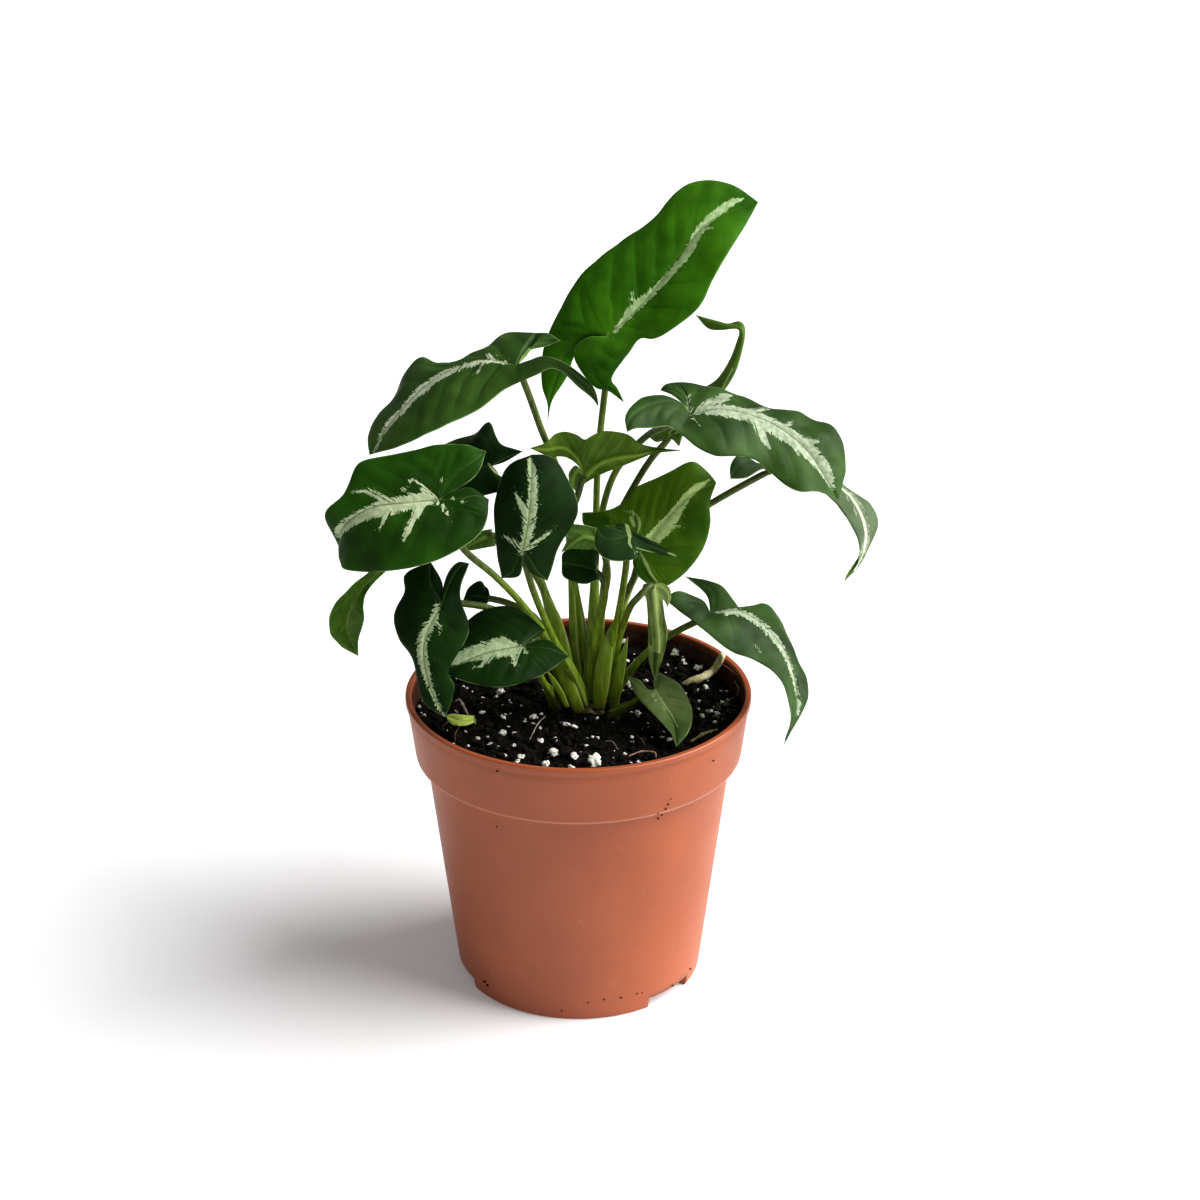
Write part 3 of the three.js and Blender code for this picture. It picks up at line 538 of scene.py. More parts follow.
# The same with its crumbs and hollows
def crumble(x, y):
    at = Vector((x, y, 0))
    rough = noise.fractal(at * 0.22, 0.9, 2.1, 4) * 0.9
    return soilHeight(x, y) + rough + abs(noise.noise(at * 0.9)) * 0.7 - 0.4


def makeSoil(material):
    sides, count = soil["sides"], soil["rings"]
    gap = pot["wall"] + soil["clear"]
    bottom = pot["floorUnderside"] + pot["floorThickness"] + soil["clear"]
    rim = outerRadius(soil["level"]) - gap
    points, rings = [(0, 0, crumble(0, 0))], [[0] * sides]

    def addRing(ring):
        rings.append(list(range(len(points), len(points) + sides)))
        points.extend(ring)

    for i in range(1, count + 1):
        sunk = soil["edgeDrop"] if i == count else 0
        spots = circle(rim * i / count, 0, sides, 0.5 * (i % 2))
        addRing([(x, y, crumble(x, y) - sunk) for x, y, _ in spots])
    section = [(outerRadius(soil["collarHeight"]) - gap, soil["collarHeight"]),
               (pot["collarFootRadius"] - gap, pot["collarFoot"] + gap),
               (pot["wallTopRadius"] - gap, pot["wallTop"] + gap)]
    section += [(outerRadius(z) - gap, z) for z in (*soil["sideHeights"], bottom)]
    for r, z in section:
        addRing(circle(r, z, sides))
    rings.append([len(points)] * sides)
    points.append((0, 0, bottom))
    addPiece("soil_mix", points, ringFaces(rings, turned=True), [material], ("soil",))


# Points and faces of a ball, split enough for a rough lump.
def ballMesh(splits):
    t = (1 + math.sqrt(5)) / 2
    points = [(-1, t, 0), (1, t, 0), (-1, -t, 0), (1, -t, 0), (0, -1, t), (0, 1, t),
              (0, -1, -t), (0, 1, -t), (t, 0, -1), (t, 0, 1), (-t, 0, -1), (-t, 0, 1)]
    points = [Vector(p).normalized() for p in points]
    faces = [(0, 11, 5), (0, 5, 1), (0, 1, 7), (0, 7, 10), (0, 10, 11), (1, 5, 9), (5, 11, 4),
             (11, 10, 2), (10, 7, 6), (7, 1, 8), (3, 9, 4), (3, 4, 2), (3, 2, 6), (3, 6, 8),
             (3, 8, 9), (4, 9, 5), (2, 4, 11), (6, 2, 10), (8, 6, 7), (9, 8, 1)]
    for _ in range(splits):
        middle, split = {}, []

        def between(a, b):
            key = (min(a, b), max(a, b))
            if key not in middle:
                middle[key] = len(points)
                points.append(((points[a] + points[b]) / 2).normalized())
            return middle[key]

        for a, b, c in faces:
            ab, bc, ca = between(a, b), between(b, c), between(c, a)
            split += [(a, ab, ca), (b, bc, ab), (c, ca, bc), (ab, bc, ca)]
        faces = split
    return np.array(points), faces


# Scatters rough lumps: each spot is (x, y, z, size).
def lumpMesh(spots, splits, roughness, draw, flat=0.75):
    ball, ballFaces = ballMesh(splits)
    points, faces = [], []
    for x, y, z, size in spots:
        shift = Vector([draw.uniform(-50, 50) for _ in range(3)])
        squeeze = np.array([draw.uniform(0.75, 1.25), draw.uniform(0.7, 1.1), draw.uniform(0.5, 1) * flat])
        turn = draw.uniform(0, math.pi)
        lean = draw.uniform(-0.6, 0.6)
        bumps = np.array([1 + roughness * noise.noise(Vector(p) * 1.7 + shift) for p in ball])
        lump = ball * bumps[:, None] * squeeze * size
        c, s = math.cos(lean), math.sin(lean)
        lump = lump @ np.array([[1, 0, 0], [0, c, s], [0, -s, c]])
        c, s = math.cos(turn), math.sin(turn)
        lump = lump @ np.array([[c, s, 0], [-s, c, 0], [0, 0, 1]])
        first = len(points)
        points += (lump + (x, y, z)).tolist()
        faces += [(a + first, b + first, c + first) for a, b, c in ballFaces]
    return points, faces


def inCrown(x, y):
    return any(math.hypot(x - cx, y - cy) < r + 0.5 for cx, cy, r in soil["crown"])


# Strews spots of these sizes over the mix, with more small ones as the power goes up.
def scatter(count, sizes, draw, power=2, lift=0.2):
    spots = []
    while len(spots) < count:
        r = soil["strewRadius"] * math.sqrt(draw.random())
        a = draw.uniform(0, 2 * math.pi)
        x, y = r * math.cos(a), r * math.sin(a)
        size = sizes[0] + (sizes[1] - sizes[0]) * draw.random() ** power
        if inCrown(x, y) or r + size > outerRadius(soil["level"]) - pot["wall"] - 0.2:
            continue
        spots.append((x, y, crumble(x, y) + size * lift, size))
    return spots


def soilFinish():
    material, wire = newMaterial("potting_mix")
    fleck = wire.grain(1.1, 6).step(0.45, 0.7)
    colour = fleck.blend((0.004, 0.004, 0.003), (0.020, 0.014, 0.010))
    fibre = wire.grain(0.6, 5, (1, 0.25, 1), 3).step(0.62, 0.72)
    colour = fibre.blend(colour, (0.055, 0.037, 0.024))
    height = wire.grain(0.8, 6, None, 5) * 0.8
    return finish(material, wire, colour, 0.95, height, 0.12)


def crumbFinish():
    material, wire = newMaterial("soil_crumb")
    fleck = wire.grain(2.4, 4).step(0.4, 0.75)
    colour = fleck.blend((0.004, 0.004, 0.003), (0.024, 0.016, 0.011))
    height = wire.grain(0.35, 4, None, 5) * 0.25
    return finish(material, wire, colour, 0.92, height, 0.15)


def perliteFinish():
    material, wire = newMaterial("perlite_grain")
    stain = wire.grain(1.2, 4).step(0.55, 0.8) * 0.5
    colour = stain.blend((0.78, 0.76, 0.69), (0.38, 0.32, 0.24))
    height = wire.grain(0.3, 4, None, 2) * 0.2
    return finish(material, wire, colour, 0.85, height)


def plainFinish(name, first, second, size=1.5):
    material, wire = newMaterial(name)
    colour = wire.grain(size, 4).step(0.35, 0.65).blend(first, second)
    return finish(material, wire, colour, 0.8, wire.grain(0.4, 4, None, 2) * 0.12)


# Thin roots and a twig, all of one tone in one piece.
def addThreads():
    tones = {
        "pale": [(0.20, 0.17, 0.12), (0.42, 0.38, 0.30)],
        "pink": [(0.28, 0.13, 0.09), (0.45, 0.26, 0.19)],
        "brown": [(0.06, 0.035, 0.018), (0.16, 0.10, 0.05)],
        "moss": [(0.06, 0.06, 0.015), (0.17, 0.15, 0.05)],
    }
    for tone, (first, second) in tones.items():
        points, faces = [], []
        for kind, radius, path in soil["threads"]:
            if kind != tone:
                continue
            fat = lambda share, a: radius * (1.15 - abs(share - 0.5)) * (1 + 0.2 * math.sin(share * 19))
            rings, _ = tubeRings(SmoothCurve(path), fat, 8, 28)
            made, madeFaces = closedTube(rings, len(points))
            points += made
            faces += madeFaces
        addPiece("threads_" + tone, points, faces, [plainFinish("thread_" + tone, first, second)])


def addSoilPieces():
    draw = random.Random(11)
    makeSoil(soilFinish())
    points, faces = lumpMesh(scatter(soil["crumbs"], soil["crumbSizes"], draw), 1, 0.9, draw)
    addPiece("soil_crumbs", points, faces, [crumbFinish()])
    white = scatter(soil["perlite"], soil["perliteSizes"], draw, 1.4, 0.5)
    white += [(x, y, crumble(x, y) + size * 0.55, size) for x, y, size in soil["whiteGrains"]]
    points, faces = lumpMesh(white, 2, 0.8, draw, 0.8)
    addPiece("perlite", points, faces, [perliteFinish()])
    tufts = []
    moss = soil["moss"]
    for _ in range(moss["count"]):
        a, r = draw.uniform(0, 2 * math.pi), draw.random() ** 0.5
        x, y = moss["middle"][0] + moss["reach"][0] * r * math.cos(a), moss["reach"][1] * r * math.sin(a)
        if math.hypot(x, y) < moss["edge"]:
            tufts.append((x, y, crumble(x, y) + 0.3, draw.uniform(*moss["sizes"])))
    points, faces = lumpMesh(tufts, 1, 1.2, draw)
    green = plainFinish("moss_green", (0.03, 0.032, 0.006), (0.12, 0.11, 0.035), 1)
    addPiece("moss", points, faces, [green])
    stuck = []
    for angle, z, size in soil["specks"]:
        a, r = math.radians(angle), outerRadius(z) + 0.05
        stuck.append((r * math.sin(a), -r * math.cos(a), z, size))
    points, faces = lumpMesh(stuck, 1, 0.9, draw)
    addPiece("stuck_specks", points, faces, [crumbFinish()])
    addThreads()


addSoilPieces()
print("potting mix is made")


# Leaves: points in millimetres, each margin from its lobe's tip to the blade's tip, and each notch from the
# stalk's joint out to the lobe's tip. Marks, pale lines and shades are strokes on the blade. Each point of
# a stroke has its share along the midrib (a lobe is below 0), its share across (left is above 0) and the
# stroke's half width in millimetres there.
leaves = [
    {
        "name": "leaf_top", "look": "top", "wave": 0.3, "quilt": 0.45,
        "midrib": [(10, 12, 232), (21, 16, 241), (33, 24, 254), (44, 32, 265), (61, 39, 270)],
        "left": [(-10, 6, 203.5), (-10, 8, 209.5), (-12, 11, 215.5), (-11.5, 15, 225.5), (-8.5, 18, 233.5),
                 (0.5, 26, 247.5), (14.5, 33, 258), (25.5, 37, 265), (34, 43, 272.5), (41.5, 46, 275),
                 (53.5, 44, 274)],
        "leftNotch": [(0, 15, 225.5), (-3.5, 11, 218), (-8.5, 8, 210.5)],
        "right": [(16, 18, 206), (13.5, 18, 211.5), (11.5, 17, 215), (16.5, 15, 223.5), (21, 12, 231),
                  (26, 10, 232), (31, 9, 235), (40.5, 11, 242.5), (44.5, 15, 249.5), (49.5, 20, 257),
                  (56.5, 31, 264.5)],
        "rightNotch": [(3.5, 11, 232), (-0.5, 12, 228.5), (-1, 13, 224), (2, 15, 217.5), (6.5, 17, 212),
                       (10.5, 18, 210.5)],
        "stalk": [(3, 0, 103), (5, 3, 125), (6, 10, 159), (7, 18, 186), (9, 24, 205), (12, 22, 231)],
        "marks": [
            [(0.04, -0.05, 0.6), (0.15, 0.04, 1.4), (0.23, 0.03, 1.6), (0.33, -0.04, 1.3),
             (0.43, -0.09, 1.5), (0.51, -0.12, 1.6), (0.58, -0.12, 1.8), (0.66, -0.03, 1.7),
             (0.73, 0.04, 1.5), (0.81, 0.14, 1.3), (0.87, 0.3, 1), (0.93, 0.47, 0.3)],
            [(0.18, 0.01, 0.5), (0.21, 0.15, 0.6), (0.26, 0.31, 0.2)],
            [(0.68, -0.04, 1), (0.71, -0.17, 0.8), (0.73, -0.29, 0.3)],
        ],
        "shades": [
            [(0.01, 0.07, 0.2), (0.05, 0.35, 0.3), (0.1, 0.62, 0.3), (0.14, 0.78, 0.2)],
            [(0.05, 0.01, 0.2), (0.14, 0.14, 0.2), (0.24, 0.29, 0.2)],
            [(0, 0.09, 0.2), (-0.02, 0.4, 0.2), (-0.03, 0.75, 0.2)],
        ],
    },
    {
        "name": "leaf_upper_left", "look": "velvet", "quilt": 0.5,
        "midrib": [(-20, -2, 227), (-33, 3, 227), (-49, 3, 219), (-61, -2, 208), (-69, -6, 197)],
        "left": [(7, -29, 222.5), (4.5, -25, 224), (0, -19, 225.5), (-4, -14, 228), (-8, -11, 229),
                 (-13, -10, 226.5), (-23, -9, 221.5), (-31, -11, 215.5), (-40, -13, 211.5),
                 (-58, -12, 202.5)],
        "leftNotch": [(-16, -5, 229.5), (-11, -9, 232.5), (-5.5, -12, 232), (0.5, -18, 230),
                      (5.5, -25, 227)],
        "right": [(-5.5, 6, 232.5), (-9.5, 9, 234), (-18.5, 14, 232.5), (-25.5, 17, 230.5),
                  (-30.5, 15, 227.5), (-35, 13, 226.5), (-38, 11, 224), (-46, 16, 221.5), (-53, 21, 221.5),
                  (-58, 17, 217.5), (-61, 12, 211.5), (-67.5, 6, 206.5), (-70, 2, 201.5)],
        "rightNotch": [(-18.5, 1, 228.5), (-15.5, 4, 230), (-10.5, 6, 230.5)],
        "stalk": [(1, 0, 103), (-1, 4, 124), (-3, 9, 160), (-7, 11, 185), (-12, 8, 200), (-17, 1, 218)],
        "marks": [
            [(0.06, 0.01, 0.5), (0.11, 0.05, 0.7), (0.17, 0.06, 0.9), (0.24, 0.07, 1), (0.33, 0.06, 1.4),
             (0.41, 0.03, 2.1), (0.48, 0.04, 2), (0.53, 0.05, 2.3), (0.56, 0.03, 2.1), (0.64, 0.04, 1.7),
             (0.72, 0.06, 1.8), (0.8, 0, 1.7), (0.88, 0.06, 1.1), (0.95, 0.59, 0.7)],
            [(0.1, 0.03, 0.7), (0.14, -0.04, 0.6), (0.18, -0.15, 0.2)],
            [(0.19, 0.12, 0.4), (0.23, 0.28, 0.5), (0.26, 0.36, 0.2)],
            [(0.53, 0.09, 0.7), (0.55, 0.21, 0.4)],
        ],
    },
    {
        "name": "leaf_right", "look": "sunlit", "quilt": 0.4,
        "midrib": [(37, -12, 213), (47, -9, 214), (63, -8, 209), (75, -12, 201), (86, -18, 185)],
        "left": [(27.5, 2, 216.5), (29.5, 5, 217.5), (42, 8, 216), (54.5, 8, 212), (65, 6, 209),
                 (73.5, 4, 208.5), (79, 2, 205.5), (85.5, -1, 204), (89, -6, 197.5), (89, -10, 192.5),
                 (87.5, -14, 188.5)],
        "leftNotch": [(35, -8, 215), (31.5, -3, 216.5)],
        "right": [(16, -25, 212), (19, -24, 213), (24.5, -22, 212.5), (29.5, -21, 212.5),
                  (33.5, -21, 209.5), (39, -24, 206), (45, -26, 204), (52, -24, 203), (58, -22, 201),
                  (63, -23, 197), (68, -26, 193.5), (72.5, -28, 192), (78.5, -25, 191)],
        "rightNotch": [(34.5, -8, 215.5), (31, -7, 217.5), (24.5, -10, 219.5), (19, -15, 219),
                       (15.5, -21, 216)],
        "stalk": [(5, 2, 102), (5, 5, 135), (8, 8, 169), (13, 9, 185), (23, 5, 199), (31, -5, 207)],
        "marks": [
            [(0.01, -0.04, 0.6), (0.07, 0.01, 1.4), (0.13, -0.05, 2.5), (0.21, -0.06, 3.4),
             (0.28, -0.03, 3.6), (0.34, -0.04, 4.1), (0.44, -0.07, 3.7), (0.54, -0.05, 3.5),
             (0.63, -0.03, 3.2), (0.72, -0.03, 3.7), (0.81, 0.04, 3.4), (0.91, -0.03, 1.8)],
            [(0.04, 0.07, 0.8), (0.13, 0.21, 1.8), (0.17, 0.36, 2.3), (0.21, 0.61, 0.9)],
            [(0.3, 0.11, 1.2), (0.36, 0.28, 1.2), (0.39, 0.56, 0.4)],
            [(0.51, 0.05, 1), (0.53, 0.36, 0.3)],
            [(0.65, 0.11, 1.7), (0.68, 0.35, 0.5)],
            [(0.39, -0.25, 1.9), (0.44, -0.5, 1.4), (0.49, -0.61, 0.3)],
            [(0.61, -0.14, 1.7), (0.64, -0.31, 0.4)],
            [(0, 0.06, 0.4), (-0.07, 0.26, 0.4), (0.01, 0.57, 0.2)],
            [(0.04, -0.26, 0.5), (0.1, -0.55, 0.3)],
        ],
    },
    {
        "name": "leaf_far_right", "look": "silver",
        "midrib": [(65, 14, 183), (79, 22, 179), (92, 26, 171.5), (98.5, 21, 163.5), (99, 12, 156),
                   (91, 0, 148)],
        "left": [(58, 28, 189), (67, 35, 188), (82, 36, 180), (93.5, 31, 170), (101.5, 28, 166),
                 (104, 24, 161), (101.5, 17, 155.5), (97, 8, 150.5)],
        "leftNotch": [(61, 20, 185)],
        "right": [(51.5, 4, 184), (57, 6, 183.5), (63, 9, 185.5), (71, 12, 182), (80.5, 15, 177),
                  (88, 17, 170), (91, 16, 166), (96, 12, 159), (96, 5, 153.5)],
        "rightNotch": [(61, 14, 185.5), (57, 13, 188.5), (53.5, 10, 189.5), (51.5, 7, 187)],
        "stalk": [(10, 7, 100), (12, 8, 122), (20, 10, 146), (32, 12, 162.5), (45, 13, 171), (57, 14, 178)],
        "marks": [
            [(0.42, -0.05, 0.6), (0.5, 0.06, 1.2), (0.57, 0.07, 1.1), (0.66, 0, 1.2), (0.74, 0.07, 1.4),
             (0.84, -0.46, 1.8), (0.93, 1, 0.4)],
            [(0.44, -0.05, 1.1), (0.5, -0.35, 0.4)],
            [(0.54, -0.31, 0.4), (0.59, -0.46, 0.4)],
        ],
        "lines": [
            [(0.42, -0.17, 0.7), (0.49, -0.05, 1), (0.56, -0.09, 1.1), (0.64, -0.1, 1.1),
             (0.71, -0.09, 0.9), (0.79, -0.19, 0.9), (0.92, 0.62, 0.4)],
        ],
        "shades": [[(-0.78, -0.2, 3.1), (-0.62, -0.41, 4.1), (-0.45, -0.76, 9.9)]],
    },
    {
        "name": "leaf_left", "look": "mature",
        "midrib": [(-45, -26, 189), (-56, -26, 188), (-67, -25, 186), (-76.5, -22, 178.5),
                   (-79.5, -16, 168)],
        "left": [(-29, -26, 189), (-31, -33, 181), (-45, -38, 173), (-61, -38, 169), (-77, -29, 166)],
        "leftNotch": [(-36, -24, 192.5)],
        "right": [(-30, -16, 202), (-40, -14, 204), (-57, -14, 201), (-72, -14, 197), (-77, -19, 188),
                  (-83, -20, 182)],
        "rightNotch": [(-33, -21.5, 196)],
        "stalk": [(-1, 1, 103), (-6, -5, 121), (-13, -9, 135), (-20, -13, 147), (-28, -17, 158),
                  (-38, -20, 169), (-43, -22, 180)],
        "marks": [
            [(0.02, -0.03, 0.3), (0.06, -0.03, 1.9), (0.13, -0.01, 2.6), (0.21, 0.01, 2.7),
             (0.28, 0.03, 2.7), (0.35, 0.05, 2.9), (0.41, 0.06, 3), (0.54, 0.06, 2.2), (0.66, 0.05, 2.1),
             (0.81, -0.01, 2.6), (0.88, -0.2, 0.6)],
            [(0.35, -0.03, 0.9), (0.41, -0.25, 1), (0.46, -0.42, 0.6), (0.55, -0.74, 0.2)],
            [(0.06, -0.05, 1), (0.09, -0.21, 0.8), (0.12, -0.38, 0.2)],
            [(0.19, -0.06, 0.5), (0.2, -0.16, 0.2)],
            [(0.15, 0.06, 1.9), (0.26, 0.3, 1.3), (0.34, 0.47, 1), (0.39, 0.59, 0.3)],
            [(0.38, 0.1, 1), (0.44, 0.26, 0.8), (0.49, 0.38, 0.2)],
            [(0.03, -0.01, 0.5), (0.06, 0.23, 0.4), (0.09, 0.49, 0.3)],
            [(0.16, -0.39, 0.5), (0.15, -0.39, 0.4)],
            [(0.23, -0.24, 0.4), (0.22, -0.24, 0.5)],
            [(-0.08, -0.31, 0.4), (-0.08, -0.3, 0.4)],
            [(-0.17, 0.14, 0.4), (-0.17, 0.15, 0.4)],
            [(-0.22, 0.34, 0.4), (-0.22, 0.34, 0.4)],
        ],
    },
    {
        "name": "leaf_middle", "look": "deep",
        "midrib": [(-18, -34, 174), (-16, -31, 184), (-15, -25, 196), (-15, -19, 202)],
        "left": [(-25, -33, 164), (-27, -29, 176), (-27, -26, 188), (-23, -20, 198)],
        "leftNotch": [(-19, -35, 166)],
        "right": [(-10, -33, 163), (-6, -30, 174), (0, -27, 185), (-4, -21, 196), (-9, -18, 201)],
        "rightNotch": [(-16, -34, 167)],
        "stalk": [(2, -1, 102), (-2, -6, 116), (-8, -13, 132), (-13, -22, 149), (-16, -29, 162)],
        "marks": [
            [(-0.02, 0.04, 0.7), (0.17, -0.04, 1.7), (0.3, -0.01, 1.8), (0.43, -0.04, 1.8),
             (0.56, -0.05, 1.5), (0.68, -0.05, 1.4), (0.84, 0, 1.3), (0.93, 0.3, 0.5)],
            [(0.36, 0.06, 1.2), (0.46, 0.24, 1), (0.56, 0.44, 0.3)],
            [(0.05, -0.12, 0.7), (0.14, -0.34, 0.5), (0.26, -0.61, 0.2)],
            [(0.03, 0.06, 0.7), (0.1, 0.29, 0.5), (0.16, 0.71, 0.2)],
        ],
    },
    {
        "name": "leaf_bright", "look": "bright",
        "midrib": [(21, -6, 161), (30, -1, 172), (39, 4, 179), (47, 8, 181)],
        "left": [(1.5, 0, 173.5), (7.5, 0, 174), (11.5, 1, 174.5), (16.5, 3, 177), (19.5, 6, 180),
                 (29, 9, 183.5), (39, 12, 187), (43.5, 11, 184.5)],
        "leftNotch": [(15, -4, 165), (8, -2, 168), (2, -1, 169.5)],
        "right": [(27.5, -9, 149), (35, -9, 154), (42, -5, 162), (44.5, -1, 169.5), (44.5, 3, 175.5)],
        "rightNotch": [(18.5, -7, 159), (20, -9, 154.5), (23.5, -10, 151.5)],
        "stalk": [(10, 7, 101), (12, 3, 125), (15, 0, 140), (19, -3, 151)],
        "marks": [
            [(0.16, 0.04, 1.3), (0.21, -0.06, 2.5), (0.34, -0.1, 2.5), (0.45, -0.1, 2.1),
             (0.57, -0.05, 1.6), (0.69, 0.03, 1.4), (0.78, 0.1, 1.3), (0.91, 0.44, 0.2)],
            [(0.37, -0.17, 1), (0.42, -0.31, 0.3)],
        ],
        "lines": [
            [(0.01, 0.01, 0.4), (-0.07, -0.25, 0.6), (-0.23, -0.5, 0.5), (-0.43, -0.69, 0.3)],
            [(0.04, 0.84, 0.4), (0.11, 0.71, 0.5), (0.14, 0.5, 0.5), (0.12, 0.39, 0.5), (0.07, 0.31, 0.3)],
            [(0.07, 0.64, 0.7), (0.07, 0.47, 0.6)],
        ],
        "shades": [
            [(-0.78, 0.49, 1.7), (-0.62, 0.33, 2.1), (-0.45, 0.62, 1.7)],
            [(-0.17, -0.03, 1.2), (-0.33, -0.24, 1.7), (-0.65, -0.29, 1.3)],
        ],
    },
    {
        "name": "leaf_lower_right", "look": "sunlit",
        "midrib": [(45, -6, 139), (56, -3, 138), (70, -9, 127), (74, -24, 113), (69, -38, 105)],
        "left": [(37, 11, 145), (50, 12, 141), (57, 3, 135), (66, 10, 134), (74, -4, 125), (78, -18, 114)],
        "leftNotch": [(44, 4, 141)],
        "right": [(29, -9, 145.5), (33, -11, 143), (38.5, -14, 140), (46, -17, 134), (53, -18, 129.5),
                  (60.5, -18, 126.5), (67, -20, 122), (70.5, -26, 116.5), (71.5, -32, 112)],
        "rightNotch": [(43, -2, 141.5), (39, -4, 144.5), (33.5, -7, 147.5)],
        "stalk": [(11, 7, 100), (15, 5, 108), (24, 3, 120), (32, 0, 128), (41, -4, 135)],
        "marks": [
            [(0.03, -0.09, 0.5), (0.11, -0.07, 1.9), (0.17, -0.07, 1.9), (0.23, -0.04, 1.8),
             (0.3, -0.05, 1.8), (0.37, -0.06, 2), (0.43, -0.07, 1.6), (0.51, -0.09, 1.2),
             (0.58, -0.11, 1.5), (0.67, -0.11, 1.1), (0.74, 0.11, 1.1), (0.81, 0.16, 0.7)],
            [(0.33, -0.61, 0.2), (0.38, -0.69, 0.1)],
            [(0.11, -0.14, 0.8), (0.1, -0.28, 0.3)],
        ],
    },
    {
        "name": "leaf_lower_left", "look": "deep",
        "midrib": [(-45, -30, 154), (-51, -36, 141), (-49, -41, 128), (-44, -43, 118)],
        "left": [(-36, -23, 165), (-39, -27.5, 156.5), (-36, -33, 145), (-43, -39, 133), (-41, -40, 128)],
        "leftNotch": [(-44.5, -26, 158.5), (-42.5, -24, 163), (-39.5, -23, 165.5)],
        "right": [(-49, -19, 164), (-58, -20, 159.5), (-58, -23, 155), (-61.5, -27, 148), (-60, -31, 142),
                  (-55, -35, 135.5), (-53.5, -38, 129.5), (-51, -41, 122.5)],
        "rightNotch": [(-45, -23, 158)],
        "stalk": [(-3, 2, 103), (-9, -3, 120), (-18, -7, 134), (-28, -12, 143), (-38, -20, 149)],
        "marks": [
            [(0.04, -0.06, 0.7), (0.12, -0.01, 1.2), (0.21, -0.01, 1.4), (0.3, -0.06, 1.7),
             (0.39, -0.07, 1.7), (0.49, -0.06, 1.9), (0.57, 0, 1.5), (0.68, 0.01, 1.1), (0.78, 0.03, 0.8),
             (0.89, -0.09, 0.5), (0.98, -0.16, 0.2)],
            [(0.14, 0.09, 0.4), (0.23, 0.25, 0.3), (0.28, 0.31, 0.2)],
            [(0.23, -0.05, 0.7), (0.2, -0.16, 0.2)],
        ],
    },
    {
        "name": "leaf_low_front", "look": "deep",
        "midrib": [(-19, -30, 138), (-30, -33, 137), (-39, -35, 134), (-44, -36, 131)],
        "left": [(-3, -32, 135), (-13, -39, 131), (-26, -43, 129), (-38, -40, 130)],
        "leftNotch": [(-11, -27, 139)],
        "right": [(-11, -22, 140), (-22, -14, 145), (-34, -17, 144), (-42, -26, 138)],
        "rightNotch": [(-15, -26, 138)],
        "stalk": [(-7.5, 1, 100), (-9.5, -3, 107), (-12, -14, 117), (-15, -24, 129)],
        "marks": [
            [(0.03, 0.09, 1), (0.16, 0.04, 3), (0.23, -0.03, 3.8), (0.29, -0.03, 3.8), (0.42, -0.03, 3.3),
             (0.55, -0.07, 3.1), (0.68, -0.15, 2.5), (0.78, -0.2, 2), (0.87, -0.3, 0.7)],
            [(0.14, 0.17, 1.2), (0.17, 0.42, 0.9), (0.19, 0.57, 0.2)],
            [(0.46, 0.21, 0.9), (0.54, 0.36, 0.4), (0.64, 0.36, 0.2)],
            [(0, 0.04, 0.5), (0, 0.26, 0.4)],
            [(0.03, 0.11, 0.5), (0.11, 0.35, 0.2)],
        ],
        "lines": [[(-0.23, 0.47, 0.2), (-0.43, -0.1, 0.2)]],
    },
    {
        "name": "leaf_left_hanging", "look": "hanging",
        "midrib": [(-62, 8, 156), (-74, 7, 143), (-80, 8, 130), (-77, 13, 114)],
        "left": [(-60, 4, 168), (-71, 4, 150.5), (-78, 1, 145), (-84, -2, 139), (-85.5, -2, 134),
                 (-83, 4, 123)],
        "leftNotch": [(-62, 6, 161)],
        "right": [(-52, 12, 159), (-66.5, 8, 148), (-72.5, 4, 143), (-74, 3, 138.5), (-74, 5, 132.5),
                  (-76.5, 9, 122)],
        "rightNotch": [(-58, 10, 157)],
        "stalk": [(-2, 3, 103), (-8, 2, 125), (-13, 5, 145), (-23, 8, 157), (-34, 9, 161), (-49, 9, 160)],
        "lines": [
            [(0.24, 0.05, 0.5), (0.31, 0.79, 0.8), (0.42, 0.72, 0.8), (0.46, 0.8, 0.6)],
            [(0.39, -0.09, 0.4), (0.48, -0.62, 0.5), (0.59, -0.54, 0.3)],
        ],
    },
    {
        "name": "leaf_back_centre", "look": "tender",
        "midrib": [(2, 1, 186), (9, 0, 192), (21, -4, 196), (34, -8, 199)],
        "left": [(0, 7, 177.5), (2, 3, 182.5), (8.5, -1, 188), (15, -3, 191.5), (21, -5, 195),
                 (25.5, -6.5, 197.5)],
        "leftNotch": [(-0.5, 4, 189), (-3, 6, 185.5), (-2.5, 7, 181)],
        "right": [(-16, 6, 194.5), (-10.5, 5, 197), (-7.5, 6, 199.5), (-4, 6, 200.5), (0, 4, 200),
                  (2.5, 1, 199.5), (5, 0.5, 201.5), (8, 0, 203), (16.5, -2, 202.5), (20.5, -4, 200),
                  (26.5, -4, 198.5)],
        "rightNotch": [(0, 3, 189.5), (-4, 4, 192), (-9.5, 5, 192)],
        "stalk": [(3, 2, 103), (2, 5, 124), (-2, 6, 152), (-2, -3, 175), (0, -3, 181)],
        "lines": [
            [(-0.5, -0.84, 0.8), (-0.38, -0.69, 1.1), (-0.23, -0.69, 1), (-0.07, -0.8, 0.5)],
            [(0.23, 0.41, 0.3), (0.41, 0.42, 0.3), (0.61, 0.25, 0.3), (0.76, -0.44, 0.5)],
            [(0.13, 1, 0.2), (0.12, 0.12, 0.3), (0.07, -0.26, 0.3)],
        ],
    },
    {
        "name": "leaf_back_left", "look": "deep",
        "midrib": [(-30, 26, 180), (-37, 28, 180), (-48, 29, 175), (-57, 28, 167)],
        "left": [(-20, 13, 177), (-27, 15, 175), (-40, 17, 171)],
        "leftNotch": [(-26, 21, 178)],
